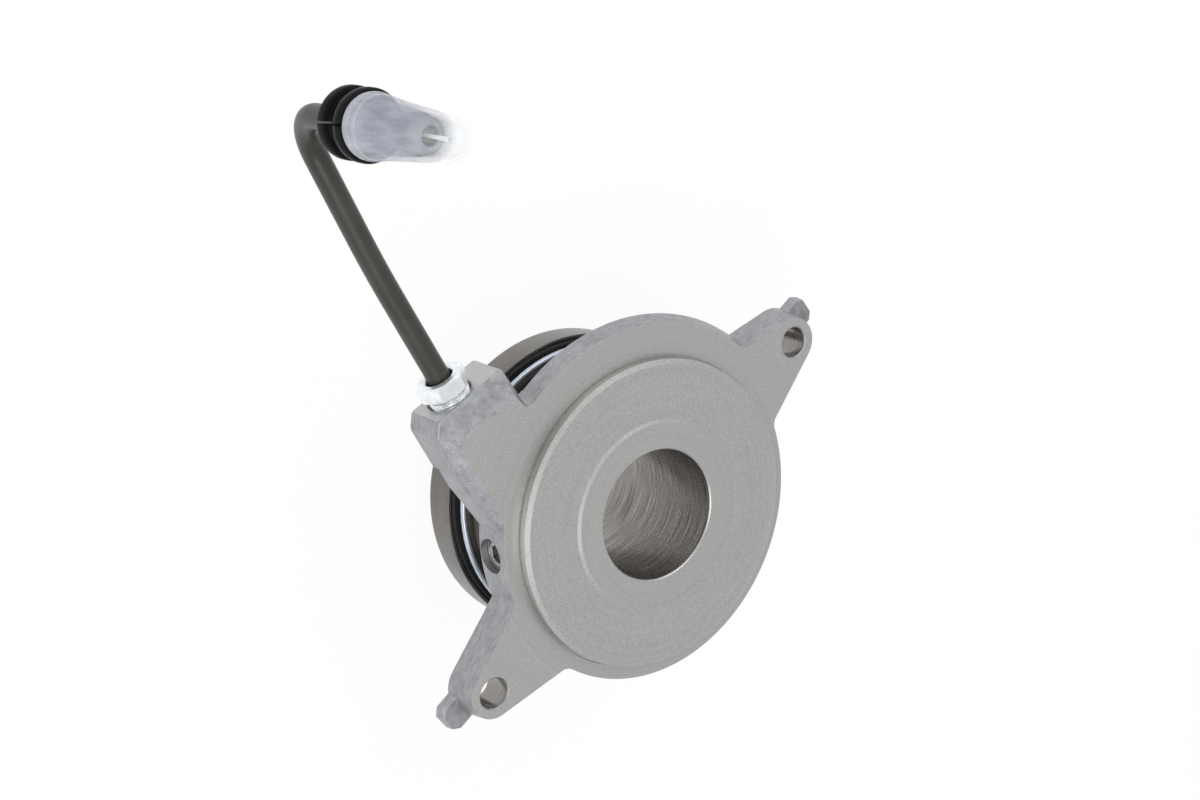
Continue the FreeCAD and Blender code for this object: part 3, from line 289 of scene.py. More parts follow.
# Machining: the face is cut level, and the turned spigot, ring, cylinder and sleeve stand on it.
groove = turned("groove", [(27.5, -0.25), (SPIGOT + 0.5, -0.25), (SPIGOT + 0.5, 0.5), (27.5, 0.5)], 256)
square = [(-90, -90), (90, -90), (90, 90), (-90, 90)]
combine(housing, [block("slab", [(0.0, square), (4.0, square)]), groove], "DIFFERENCE")
body = turned("body", [
    (BORE, -39.5), (BORE, 2.8), (BORE + 0.3, 3.1), (21.1, 3.1), (21.95, 2.8), (34.25, 2.8), (SPIGOT, 2.4),
    (SPIGOT, -1.0), (31.0, -1.0), (31.0, -5.0), (28.0, -5.0),
    (28.0, -11.2), (27.4, -11.2), (27.4, -13.8), (28.0, -13.8), (28.0, -23.2), (27.8, -23.4), (24.2, -23.4),
    (24.2, -4.0), (17.2, -4.0), (17.2, -36.2), (16.5, -36.2), (16.5, -37.4), (17.2, -37.4), (17.2, -39.2),
    (16.9, -39.5)], 256)
combine(housing, [body], "UNION")

port_way = Vector((math.sin(PORT_ANGLE), math.cos(PORT_ANGLE), 0.0))
plug_way = Vector((math.cos(PLUG_ANGLE), math.sin(PLUG_ANGLE), 0.0))
plug_level = Vector((0, 0, -PLUG_DEPTH))
cutters = [
    drill("hole", EAR_HOLE, (EAR_REACH, 0, -12), (0, 0, 1), 12.0, 0.35),
    drill("hole", EAR_HOLE, (-EAR_REACH, 0, -12), (0, 0, 1), 12.0, 0.35),
    drill("port", 4.65, PORT - port_way * 9.5, port_way, 9.5, 0.65),
    drill("spot", 3.95, plug_way * (RIM - SPOT_DEPTH) + plug_level, plug_way, SPOT_DEPTH + 2.0),
    drill("plug", PLUG, plug_way * (RIM - SPOT_DEPTH - PLUG_LENGTH) + plug_level, plug_way, 8.0),
]
combine(housing, cutters, "DIFFERENCE")
smooth(housing, 13.0)


def give(tree, slot, value):
    """Link a socket to an input, or set the input to a number."""
    if isinstance(value, bpy.types.NodeSocket):
        tree.links.new(value, slot)
    else:
        slot.default_value = value


def feed(tree, node, **inputs):
    """Give a node its named inputs."""
    for label, value in inputs.items():
        give(tree, node.inputs[label.replace("_", " ")], value)
    return node


def add(tree, kind, **inputs):
    """New node with its inputs given."""
    return feed(tree, tree.nodes.new(kind), **inputs)


def new_material(name):
    """Empty material with a Principled shader, its output and Object coordinates."""
    material = bpy.data.materials.new(name)
    material.use_nodes = True
    tree = material.node_tree
    tree.nodes.clear()
    shader = tree.nodes.new("ShaderNodeBsdfPrincipled")
    add(tree, "ShaderNodeOutputMaterial", Surface=shader.outputs["BSDF"])
    return material, tree, shader, add(tree, "ShaderNodeTexCoord").outputs["Object"]


def math_node(tree, operation, a, b=None, clamp=False):
    """Math node fed by sockets or numbers."""
    node = tree.nodes.new("ShaderNodeMath")
    node.operation = operation
    node.use_clamp = clamp
    for slot, value in zip(node.inputs, (a, b)):
        if value is not None:
            give(tree, slot, value)
    return node.outputs["Value"]


def product(tree, a, b):
    """One value times another."""
    return math_node(tree, "MULTIPLY", a, b)


def weighted(tree, *parts):
    """Sum of values, each with its share."""
    total = product(tree, *parts[0])
    for value, share in parts[1:]:
        total = math_node(tree, "ADD", total, product(tree, value, share))
    return total


def both(tree, *tests):
    """Mask that is 1 where two tests of (value, comparison, limit) hold."""
    return product(tree, *(math_node(tree, comparison, value, limit) for value, comparison, limit in tests))


def parts_of(tree, vector):
    """X, Y and Z of a vector."""
    return add(tree, "ShaderNodeSeparateXYZ", Vector=vector).outputs


def plan_distance(tree, x, y):
    """Length of a plan vector with these two parts."""
    flat = add(tree, "ShaderNodeCombineXYZ", X=x, Y=y)
    length = add(tree, "ShaderNodeVectorMath", Vector=flat.outputs["Vector"])
    length.operation = "LENGTH"
    return length.outputs["Value"]


def stretched(tree, place, share):
    """Coordinates that squeeze a pattern along Z by a share over 1 or draw it out under 1."""
    return add(tree, "ShaderNodeMapping", Vector=place, Scale=(1.0, 1.0, share)).outputs["Vector"]


def noise_node(tree, place, scale, detail=4.0, roughness=0.55):
    """Noise texture's value."""
    return add(tree, "ShaderNodeTexNoise", Vector=place, Scale=scale, Detail=detail,
               Roughness=roughness).outputs["Fac"]


def spread(tree, value, low, high, out_low=0.0, out_high=1.0):
    """Map Range with clamping."""
    return add(tree, "ShaderNodeMapRange", Value=value, From_Min=low, From_Max=high,
               To_Min=out_low, To_Max=out_high).outputs["Result"]


def mix_colour(tree, factor, a, b):
    """Mix of two colours, each a socket or three numbers."""
    node = tree.nodes.new("ShaderNodeMix")
    node.data_type = "RGBA"
    for index, value in ((0, factor), (6, a), (7, b)):
        give(tree, node.inputs[index], (*value, 1.0) if isinstance(value, tuple) else value)
    return node.outputs[2]


def bump_node(tree, height, strength, distance, normal=None):
    """Bump from a height, over a softened normal where one is given."""
    node = add(tree, "ShaderNodeBump", Height=height, Strength=strength, Distance=distance)
    if normal is not None:
        feed(tree, node, Normal=normal)
    return node.outputs["Normal"]


def rounded(tree, radius, samples=6):
    """Normal softened at the edges, as a deburred or moulded corner is."""
    node = add(tree, "ShaderNodeBevel", Radius=radius)
    node.samples = samples
    return node.outputs["Normal"]


def new_group(name, inputs, outputs):
    """Shader node group with float inputs and named outputs."""
    group = bpy.data.node_groups.new(name, "ShaderNodeTree")
    group.interface.new_socket("Place", in_out="INPUT", socket_type="NodeSocketVector")
    for label, number in inputs:
        socket = group.interface.new_socket(label, in_out="INPUT", socket_type="NodeSocketFloat")
        socket.default_value = number
    for label in outputs:
        group.interface.new_socket(label, in_out="OUTPUT", socket_type="NodeSocketFloat")
    return group, group.nodes.new("NodeGroupInput").outputs, group.nodes.new("NodeGroupOutput").inputs


def use_group(tree, group, place, **values):
    """A group placed in a material with its own values."""
    node = tree.nodes.new("ShaderNodeGroup")
    node.node_tree = group
    return feed(tree, node, Place=place, **values).outputs


# Mottle: the cloudy patches and fine grain of a cast or moulded skin.
mottle, source, sink = new_group("Mottle", [("Patch Scale", 160.0), ("Grain Scale", 2200.0)],
                                 ["Patches", "Grain"])
patches = noise_node(mottle, source["Place"], source["Patch Scale"], 5.0, 0.6)
grain = noise_node(mottle, source["Place"], source["Grain Scale"], 2.0)
mottle.links.new(spread(mottle, patches, 0.32, 0.7), sink["Patches"])
mottle.links.new(spread(mottle, grain, 0.3, 0.7), sink["Grain"])

# Lathe marks: rings left by the tool, by radius on faces and by height on walls. Marks are
# the fine ones and Sweep the broad ones.
lathe, source, sink = new_group("Lathe Marks", [("Ring Scale", 1.0), ("On Wall", 0.0)], ["Marks", "Sweep"])
parts = parts_of(lathe, source["Place"])
off_wall = math_node(lathe, "SUBTRACT", 1.0, source["On Wall"])
from_axis = plan_distance(lathe, parts["X"], parts["Y"])
across = weighted(lathe, (parts["Z"], source["On Wall"]), (from_axis, off_wall))
line = product(lathe, across, source["Ring Scale"])
turn = math_node(lathe, "ARCTAN2", parts["Y"], parts["X"])
for label, rings_per_metre, turn_scale, detail in (("Marks", 5200.0, 1.3, 3.0), ("Sweep", 900.0, 0.7, 2.0)):
    where = add(lathe, "ShaderNodeCombineXYZ", X=product(lathe, line, rings_per_metre),
                Y=product(lathe, turn, turn_scale))
    rings = add(lathe, "ShaderNodeTexNoise", Vector=where.outputs["Vector"], Scale=1.0, Detail=detail)
    rings.noise_dimensions = "2D"
    lathe.links.new(spread(lathe, rings.outputs["Fac"], 0.3, 0.7), sink[label])

MACHINED = (0.375, 0.372, 0.36)
MACHINED_LIGHT = (0.52, 0.515, 0.5)
CAST_DARK = (0.215, 0.217, 0.232)
CAST_LIGHT = (0.432, 0.432, 0.446)
# Bore and hole colours: a darker, warmer copy of the machined tone, which is painted shade for the recesses;
# the lathe rings that vary it are real tool marks.
BORE_PAINTED_SHADE_DARK = (0.11, 0.102, 0.096)
BORE_PAINTED_SHADE_LIGHT = (0.4, 0.378, 0.362)
CAST_EDGE = 0.22
MACHINED_EDGE = 0.07
NEAR = 0.05

cast_aluminium, tree, shader, place = new_material("Cast and machined aluminium")
split = parts_of(tree, place)
lift = parts_of(tree, add(tree, "ShaderNodeNewGeometry").outputs["Normal"])
radius = plan_distance(tree, split["X"], split["Y"])
on_face = both(tree, (split["Z"], "GREATER_THAN", -0.04 * MM), (lift["Z"], "GREATER_THAN", 0.97))
on_spigot = both(tree, (radius, "LESS_THAN", (SPIGOT + 0.7) * MM), (split["Z"], "GREATER_THAN", -0.4 * MM))
in_bore = both(tree, (radius, "LESS_THAN", (BORE + NEAR) * MM), (split["Z"], "LESS_THAN", (2.8 + NEAR) * MM))
hole_side = math_node(tree, "SUBTRACT", math_node(tree, "ABSOLUTE", split["X"]), EAR_REACH * MM)
hole_distance = plan_distance(tree, hole_side, split["Y"])
in_hole = both(tree, (hole_distance, "LESS_THAN", (EAR_HOLE + NEAR) * MM),
               (split["Z"], "LESS_THAN", -0.1 * MM))
port_along = weighted(tree, (split["X"], port_way.x), (split["Y"], port_way.y))
on_port = math_node(tree, "GREATER_THAN", port_along, (PORT.dot(port_way) - NEAR) * MM)
face_mask = math_node(tree, "MAXIMUM", on_face, on_spigot)
turned_mask = math_node(tree, "MAXIMUM", in_bore, in_hole)
machined = math_node(tree, "MAXIMUM", face_mask, turned_mask)
machined = math_node(tree, "MAXIMUM", machined, product(tree, on_port, 0.85), clamp=True)
skin = use_group(tree, mottle, place, Patch_Scale=240.0, Grain_Scale=2600.0)
streaks = spread(tree, noise_node(tree, stretched(tree, place, 3.2), 520.0, 8.0, 0.62), 0.32, 0.68)
face_rings = use_group(tree, lathe, place, On_Wall=0.0)
bore_rings = use_group(tree, lathe, place, On_Wall=1.0)
cast_factor = weighted(tree, (streaks, 0.6), (skin["Patches"], 0.4))
cast_tint = mix_colour(tree, cast_factor, CAST_DARK, CAST_LIGHT)
cut_factor = weighted(tree, (skin["Grain"], 0.85), (face_rings["Sweep"], 0.15))
cut_tint = mix_colour(tree, cut_factor, MACHINED, MACHINED_LIGHT)
# The bore and the ear holes take the painted-shade tone, ringed by the real lathe marks, in place of the
# machined face's tone.
bore_painted_shade_tint = mix_colour(tree, bore_rings["Marks"], BORE_PAINTED_SHADE_DARK, BORE_PAINTED_SHADE_LIGHT)
cut_tint = mix_colour(tree, turned_mask, cut_tint, bore_painted_shade_tint)
rough_cast = spread(tree, cast_factor, 0.0, 1.0, 0.44, 0.6)
rough_cut = spread(tree, skin["Grain"], 0.0, 1.0, 0.36, 0.46)
rough = add(tree, "ShaderNodeMix", Factor=machined, A=rough_cast, B=rough_cut).outputs[0]
as_cast = math_node(tree, "SUBTRACT", 1.0, machined)
height = weighted(tree, (skin["Grain"], as_cast), (product(tree, streaks, as_cast), 1.2),
                  (bore_rings["Marks"], in_bore), (skin["Grain"], 0.35))
edge_radius = spread(tree, machined, 0.0, 1.0, CAST_EDGE * MM, MACHINED_EDGE * MM)
feed(tree, shader, Base_Color=mix_colour(tree, machined, cast_tint, cut_tint), Metallic=0.85,
     Roughness=math_node(tree, "SUBTRACT", rough, product(tree, turned_mask, 0.17)),
     Normal=bump_node(tree, height, 0.5, 0.05 * MM, rounded(tree, edge_radius)))
housing.data.materials.clear()
housing.data.materials.append(cast_aluminium)
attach(housing, "housing")
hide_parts("housing")


# Piston, seal and stop.
# The annular piston, its lip seal and support ring run between the sleeve and the cylinder.
# Glass-filled nylon and rubber; an open ring of blued spring steel in the sleeve's groove
# is the stop that keeps the piston on until the part is fitted.
def dressed(node, material):
    """Give a CAD node its finished material."""
    mesh = nodes_of[node].data
    mesh.materials.clear()
    mesh.materials.append(material)


def plain_finish(name, dark, light, roughness, metallic=0.0, patch=300.0, grain=3000.0, bump=0.03, shine=0.5):
    """Material with mottled colour, varied roughness and a fine grain, its bump in millimetres."""
    material, tree, shader, place = new_material(name)
    skin = use_group(tree, mottle, place, Patch_Scale=patch, Grain_Scale=grain)
    height = weighted(tree, (skin["Grain"], 1.0), (skin["Patches"], 0.7))
    feed(tree, shader, Base_Color=mix_colour(tree, skin["Patches"], dark, light), Metallic=metallic,
         Specular_IOR_Level=shine,
         Roughness=spread(tree, skin["Patches"], 0.0, 1.0, roughness - 0.06, roughness + 0.06),
         Normal=bump_node(tree, height, 0.45, bump * MM, rounded(tree, 0.2 * MM, 4)))
    return material


moulded_piston = plain_finish("Glass-filled nylon", (0.012, 0.012, 0.013), (0.022, 0.022, 0.023), 0.42,
                              shine=0.3)
seal_rubber = plain_finish("Seal rubber", (0.008, 0.008, 0.009), (0.014, 0.014, 0.015), 0.4, shine=0.25)
support_plastic = plain_finish("Support ring plastic", (0.55, 0.5, 0.42), (0.62, 0.57, 0.48), 0.4)
blued_steel = plain_finish("Blued spring steel", (0.07, 0.07, 0.09), (0.12, 0.12, 0.14), 0.33, 1.0)
dressed("piston", moulded_piston)
dressed("piston_seal", seal_rubber)
dressed("seal_support_ring", support_plastic)
dressed("retaining_ring", blued_steel)


# Bearing shell.
# Cup that carries the release bearing and shows all round below the housing's rim.
# Deep-drawn steel with rounded corners, dark and satin, with faint drawing marks round it.
def drawn_steel(name, dark, light, roughness, ring_scale):
    """Metal whose fine marks run round the axis."""
    material, tree, shader, place = new_material(name)
    rings = use_group(tree, lathe, place, Ring_Scale=ring_scale, On_Wall=1.0)
    skin = use_group(tree, mottle, place, Patch_Scale=120.0, Grain_Scale=2500.0)
    factor = weighted(tree, (rings["Marks"], 0.35), (skin["Patches"], 0.65))
    height = weighted(tree, (rings["Marks"], 1.0), (skin["Grain"], 0.4))
    feed(tree, shader, Base_Color=mix_colour(tree, factor, dark, light), Metallic=1.0,
         Roughness=spread(tree, factor, 0.0, 1.0, roughness - 0.05, roughness + 0.07),
         Normal=bump_node(tree, height, 0.4, 0.03 * MM, rounded(tree, 0.15 * MM)))
    return material


SHELL = 35.7
SHELL_WALL = 0.9
SHELL_LIP = -28.0
SHELL_BASE = -37.0
SHELL_BEND = 1.6
SHELL_HOLE = 20.6
bend_centre = (SHELL - SHELL_BEND, SHELL_BASE + SHELL_BEND)
shell_section = [(SHELL, SHELL_LIP - 0.15)] + arc_points(bend_centre, SHELL_BEND, 0.0, -math.pi / 2, 6)
shell_section += [(SHELL_HOLE, SHELL_BASE), (SHELL_HOLE, SHELL_BASE + SHELL_WALL)]
shell_section += arc_points(bend_centre, SHELL_BEND - SHELL_WALL, -math.pi / 2, 0.0, 4)
shell_section += [(SHELL - SHELL_WALL, SHELL_LIP - 0.15), (SHELL - SHELL_WALL + 0.15, SHELL_LIP),
                  (SHELL - 0.15, SHELL_LIP)]
shell = smooth(turned("bearing_shell_cup", shell_section, 256), 30.0)
pressed_steel = drawn_steel("Drawn steel", (0.105, 0.096, 0.088), (0.185, 0.176, 0.165), 0.34, 0.5)
shell.data.materials.append(pressed_steel)
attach(shell, "piston")
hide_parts("bearing_shell")

# Spring seat.
# Moulded ring pressed into the cup: the spring's last coil stands on its upper face.
# Black filled nylon, matt, with a soft edge.
SEAT_TOP = -27.4
seat = smooth(turned("spring_seat_ring", [
    (30.0, SEAT_TOP - 0.3), (30.3, SEAT_TOP), (34.2, SEAT_TOP - 0.2), (34.7, SEAT_TOP - 0.7), (34.7, -34.5),
    (33.1, -36.1), (31.5, -36.1), (33.1, -34.5), (33.1, -29.6), (30.0, -29.0)], 192), 30.0)
seat_plastic = plain_finish("Spring ring nylon", (0.01, 0.01, 0.01), (0.02, 0.02, 0.02), 0.5, grain=4200.0,
                            shine=0.2)
seat.data.materials.append(seat_plastic)
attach(seat, "piston")
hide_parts("spring_seat")

# Dust boot.
# Bellows that keeps clutch dust off the cylinder: a thick cuff in the housing's groove,
# three soft folds and a foot on the spring seat. Moulded black rubber with a slight shine.
BOOT_TOP = -11.2
BOOT_FOOT = -27.2
BOOT_START = -13.8
BOOT_FOLDS = 3
FOLD_DEPTH = 2.4
FOLD_SAMPLES = 10
outer_wall = [(29.3, BOOT_TOP)]
inner_wall = [(28.2, BOOT_START - 0.02)]
fold_span = BOOT_FOOT + 1.3 - BOOT_START
for k in range(BOOT_FOLDS * FOLD_SAMPLES + 1):
    share = k / (BOOT_FOLDS * FOLD_SAMPLES)
    swell = FOLD_DEPTH * (0.5 - 0.5 * math.cos(2 * math.pi * BOOT_FOLDS * share)) ** 1.25
    depth = BOOT_START + fold_span * share
    outer_wall.append((29.3 + swell, depth))
    inner_wall.append((28.4 + swell, depth - 0.05))
outer_wall += [(30.4, BOOT_FOOT + 1.1), (31.6, BOOT_FOOT + 0.9), (31.9, BOOT_FOOT + 0.6), (31.9, BOOT_FOOT)]
boot_section = [(27.45, BOOT_TOP - 0.15), (27.6, BOOT_TOP)] + outer_wall + [(29.5, BOOT_FOOT)]
boot_section += inner_wall[::-1] + [(27.45, BOOT_START)]
boot = smooth(turned("dust_boot_bellows", boot_section, 160), 40.0)
boot_rubber = plain_finish("Boot rubber", (0.026, 0.023, 0.02), (0.062, 0.053, 0.046), 0.36, patch=140.0,
                           grain=2600.0, shine=0.35)
boot.data.materials.append(boot_rubber)
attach(boot, "housing")
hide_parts("dust_boot")
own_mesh(boot)

# Preload spring.
# Coil that holds the release bearing lightly against the clutch: one open turn between two
# closed ones, which lie on the seat and under the rim. Bright hard-drawn wire, cold wound.
WIRE = 0.7
COIL = 33.2
COIL_START = math.radians(232.0)


def new_tree(name, inputs):
    """Geometry node tree with its inputs, and their identifiers."""
    tree = bpy.data.node_groups.new(name, "GeometryNodeTree")
    tree.interface.new_socket("Geometry", in_out="OUTPUT", socket_type="NodeSocketGeometry")
    names = {}
    for label, kind, value in inputs:
        socket = tree.interface.new_socket(label, in_out="INPUT", socket_type=kind)
        if value is not None:
            socket.default_value = value
        names[label] = socket.identifier
    return tree, names, tree.nodes.new("NodeGroupInput").outputs, tree.nodes.new("NodeGroupOutput").inputs


def run_tree(name, tree, names, values):
    """Run a geometry node tree on an empty mesh and keep the plain mesh it makes."""
    piece = bpy.data.objects.new(name, bpy.data.meshes.new(name))
    bpy.context.scene.collection.objects.link(piece)
    modifier = piece.modifiers.new("Make", "NODES")
    modifier.node_group = tree
    for label, value in values.items():
        modifier[names[label]] = value
    return settle(piece)


def finish_tree(tree, geometry, given, result):
    """End a tree in plain mesh with its finish."""
    real = add(tree, "GeometryNodeRealizeInstances", Geometry=geometry)
    paint = add(tree, "GeometryNodeSetMaterial", Geometry=real.outputs["Geometry"], Material=given["Finish"])
    tree.links.new(paint.outputs["Geometry"], result["Geometry"])


spring_wire, tree, shader, place = new_material("Bright spring wire")
skin = use_group(tree, mottle, place, Patch_Scale=500.0, Grain_Scale=5200.0)
feed(tree, shader, Metallic=0.6, Roughness=spread(tree, skin["Patches"], 0.0, 1.0, 0.32, 0.42),
     Base_Color=mix_colour(tree, skin["Patches"], (0.44, 0.48, 0.54), (0.56, 0.6, 0.67)),
     Normal=bump_node(tree, skin["Grain"], 0.3, 0.02 * MM))

TURN_STEPS = 96
coil_tree, coil_names, given, result = new_tree("Coil Spring", [
    ("Coil Radius", "NodeSocketFloat", 0.03), ("Wire Radius", "NodeSocketFloat", 0.001),
    ("Low", "NodeSocketFloat", 0.0), ("Closed Pitch", "NodeSocketFloat", 0.001),
    ("Open Rise", "NodeSocketFloat", 0.01), ("Start", "NodeSocketFloat", 0.0),
    ("Finish", "NodeSocketMaterial", None)])
straight = add(coil_tree, "GeometryNodeCurvePrimitiveLine")
fine_line = add(coil_tree, "GeometryNodeResampleCurve", Curve=straight.outputs["Curve"],
                Count=3 * TURN_STEPS + 1)
index = add(coil_tree, "GeometryNodeInputIndex").outputs["Index"]
turns = math_node(coil_tree, "DIVIDE", index, float(TURN_STEPS))
angle = math_node(coil_tree, "ADD", given["Start"], product(coil_tree, turns, 2 * math.pi))
open_turn = math_node(coil_tree, "SUBTRACT", turns, 1.0, clamp=True)
closed_turns = math_node(coil_tree, "ADD", math_node(coil_tree, "MINIMUM", turns, 1.0),
                         math_node(coil_tree, "SUBTRACT", turns, 2.0, clamp=True))
wave = math_node(coil_tree, "SINE", product(coil_tree, open_turn, 2 * math.pi))
rise = math_node(coil_tree, "SUBTRACT", open_turn, product(coil_tree, wave, 0.8 / (2 * math.pi)))
climb = weighted(coil_tree, (closed_turns, given["Closed Pitch"]), (rise, given["Open Rise"]),
                 (given["Low"], 1.0))
spot = add(coil_tree, "ShaderNodeCombineXYZ", Z=climb,
           X=product(coil_tree, math_node(coil_tree, "COSINE", angle), given["Coil Radius"]),
           Y=product(coil_tree, math_node(coil_tree, "SINE", angle), given["Coil Radius"]))
bend = add(coil_tree, "GeometryNodeSetPosition", Geometry=fine_line.outputs["Curve"],
           Position=spot.outputs["Vector"])
round_section = add(coil_tree, "GeometryNodeCurvePrimitiveCircle", Resolution=20, Radius=given["Wire Radius"])
wound = add(coil_tree, "GeometryNodeCurveToMesh", Curve=bend.outputs["Geometry"],
            Profile_Curve=round_section.outputs["Curve"], Fill_Caps=True)
finish_tree(coil_tree, wound.outputs["Mesh"], given, result)
spring_low = SEAT_TOP + WIRE + 0.05
spring_high = -RIM_DEPTH - WIRE - 0.05
closed_pitch = 2 * WIRE + 0.05
spring = run_tree("preload_spring_coil", coil_tree, coil_names, {
    "Coil Radius": COIL * MM, "Wire Radius": WIRE * MM, "Low": spring_low * MM,
    "Closed Pitch": closed_pitch * MM, "Open Rise": (spring_high - spring_low - 2 * closed_pitch) * MM,
    "Start": COIL_START, "Finish": spring_wire})
smooth(spring, 40.0)
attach(spring, "housing")
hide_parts("preload_spring")
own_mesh(spring)

# Release bearing.
# Angular-contact ball bearing: a fixed outer race against the cup and a turning race whose
# rounded nose meets the clutch's fingers. Ground and hardened steel, polished balls in a
# moulded cage, and a rubber seal pressed into the outer race.
bearing_steel = drawn_steel("Ground bearing steel", (0.38, 0.38, 0.39), (0.56, 0.56, 0.57), 0.26, 1.0)
outer_race = smooth(turned("bearing_outer_race_ring", [
    (20.9, -37.0), (27.9, -37.0), (28.2, -37.3), (28.2, -44.3), (27.9, -44.6), (26.4, -44.6), (26.4, -43.6),
    (24.5, -43.6), (24.5, -43.35), (25.1, -42.9), (25.65, -42.3), (25.95, -41.5), (26.0, -40.7), (25.85, -39.9),
    (25.4, -39.1), (24.8, -38.5), (24.3, -38.3), (20.9, -38.3)], 160), 30.0)
outer_race.data.materials.append(bearing_steel)
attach(outer_race, "piston")
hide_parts("bearing_outer_race")

contact_race = smooth(turned("bearing_contact_nose", [
    (19.0, -40.2), (20.55, -40.2), (20.45, -40.7), (20.5, -41.3), (20.7, -42.0), (21.05, -42.6), (21.6, -43.05),
    (21.9, -43.15), (24.0, -43.15), (24.0, -44.5), (23.9, -45.0), (23.6, -45.5), (23.1, -45.85), (22.5, -46.0),
    (20.5, -46.0), (19.9, -45.9), (19.4, -45.6), (19.1, -45.2), (19.0, -44.6)], 160), 30.0)
contact_race.data.materials.append(bearing_steel)
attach(contact_race, "contact_race")
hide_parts("bearing_contact_race")

BALL_COUNT = 18
BALL_PITCH = 23.2
BALL = 2.75
BALL_LEVEL = -40.7
ball_steel = plain_finish("Polished ball steel", (0.62, 0.62, 0.64), (0.72, 0.72, 0.74), 0.14, 1.0,
                          bump=0.004)
ball_tree, ball_names, given, result = new_tree("Ball Row", [
    ("Count", "NodeSocketInt", 12), ("Pitch Radius", "NodeSocketFloat", 0.02),
    ("Ball Radius", "NodeSocketFloat", 0.002), ("Height", "NodeSocketFloat", 0.0),
    ("Finish", "NodeSocketMaterial", None)])
row = add(ball_tree, "GeometryNodeMeshCircle", Vertices=given["Count"], Radius=given["Pitch Radius"])
one_ball = add(ball_tree, "GeometryNodeMeshIcoSphere", Subdivisions=4, Radius=given["Ball Radius"])
gloss = add(ball_tree, "GeometryNodeSetShadeSmooth", Geometry=one_ball.outputs["Mesh"])
set_out = add(ball_tree, "GeometryNodeInstanceOnPoints", Points=row.outputs["Mesh"],
              Instance=gloss.outputs["Geometry"])
drop = add(ball_tree, "ShaderNodeCombineXYZ", Z=given["Height"])
lower = add(ball_tree, "GeometryNodeTransform", Geometry=set_out.outputs["Instances"],
            Translation=drop.outputs["Vector"])
finish_tree(ball_tree, lower.outputs["Geometry"], given, result)
balls = run_tree("bearing_ball_row", ball_tree, ball_names, {
    "Count": BALL_COUNT, "Pitch Radius": BALL_PITCH * MM, "Ball Radius": BALL * MM,
    "Height": BALL_LEVEL * MM, "Finish": ball_steel})
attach(balls, "cage")
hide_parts("bearing_balls")
cage_plastic = plain_finish("Cage nylon", (0.014, 0.014, 0.014), (0.026, 0.026, 0.026), 0.5, shine=0.3)
dressed("ball_cage", cage_plastic)
dressed("bearing_seal", seal_rubber)

# Screw plug.
# Closes the cross drilling in the rim beside the left ear, sunk in a spot-faced recess.
# Turned and plated steel with a hexagon socket, on a soft aluminium sealing ring.
def hexagon(corner, turn=0.0):
    """Outline of a hexagon from its corner radius and its turn in degrees."""
    angles = [math.radians(turn + 60 * k) for k in range(6)]
    return [(corner * math.cos(a), corner * math.sin(a)) for a in angles]


SOCKET_CORNER = 2.31
SOCKET_DEPTH = 3.0
plug_foot = RIM - SPOT_DEPTH - PLUG_LENGTH + 0.3
plug_tall = RIM - PLUG_SINK - plug_foot
plug = turned("hex_socket_plug_screw", [
    (0.0, 0.0), (PLUG - 0.45, 0.0), (PLUG, 0.45), (PLUG, plug_tall - 0.35), (3.05, plug_tall - 0.05),
    (2.75, plug_tall), (2.6, plug_tall - 0.12), (2.45, plug_tall), (0.0, plug_tall)], 96)
socket = hexagon(SOCKET_CORNER)
combine(plug, [block("socket", [(plug_tall - SOCKET_DEPTH, socket), (plug_tall + 1.0, socket)])], "DIFFERENCE")
outward = Vector((0, 0, 1)).rotation_difference(plug_way).to_matrix().to_4x4()
plug.data.transform(Matrix.Translation((plug_way * plug_foot + plug_level) * MM) @ outward)
smooth(plug, 30.0)
plated_steel = plain_finish("Plated plug steel", (0.42, 0.42, 0.42), (0.6, 0.6, 0.59), 0.32, 1.0, patch=700.0)
plug.data.materials.append(plated_steel)
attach(plug, "housing")
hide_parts("hex_socket_plug")
washer = turned("plug_sealing_ring", [(3.32, 0.0), (3.85, 0.0), (3.85, 0.4), (3.7, 0.58), (3.32, 0.6)], 96)
washer.data.transform(Matrix.Translation((plug_way * (RIM - SPOT_DEPTH) + plug_level) * MM) @ outward)
smooth(washer, 40.0)
soft_aluminium = plain_finish("Soft aluminium", (0.4, 0.4, 0.4), (0.55, 0.55, 0.55), 0.36, 1.0, patch=900.0)
washer.data.materials.append(soft_aluminium)
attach(washer, "housing")
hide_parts("plug_seal_ring")

# Union nut.
# Clamps the pipe's flare into the port; its hexagon stands just clear of the machined face.
# Turned steel, white zinc plate that is bright and lightly blotched, with a chamfered crown.
NUT_FLATS = 10.0
NUT_BASE = 1.5
NUT_TOP = 5.1
NUT_TURN = -8.0
nut_plan = hexagon(NUT_FLATS / 2 / math.cos(math.radians(30)), NUT_TURN)
nut = block("pipe_union_nut", [(NUT_BASE, nut_plan), (NUT_TOP, nut_plan)])
crown = turned("crown", [(4.7, NUT_TOP + 0.01), (6.8, NUT_TOP - 1.15), (9.0, NUT_TOP - 1.15),
                         (9.0, NUT_TOP + 1.0), (4.7, NUT_TOP + 1.0)], 96)
skirt = turned("skirt", [(4.95, NUT_BASE - 0.01), (4.95, NUT_BASE - 0.6), (9.0, NUT_BASE - 0.6),
                         (9.0, NUT_BASE + 0.6), (6.6, NUT_BASE + 0.6)], 96)
combine(nut, [crown, skirt], "DIFFERENCE")
thread = [(0.4, NUT_BASE + 0.3), (0.4, -7.0), (4.0, -7.0), (4.6, -6.4)]
for k in range(14):
    thread += [(4.6, -6.2 + 0.5 * k), (4.3, -5.95 + 0.5 * k)]
thread += [(4.45, 1.0), (4.45, NUT_BASE + 0.3)]
combine(nut, [turned("thread", thread, 96)], "UNION")
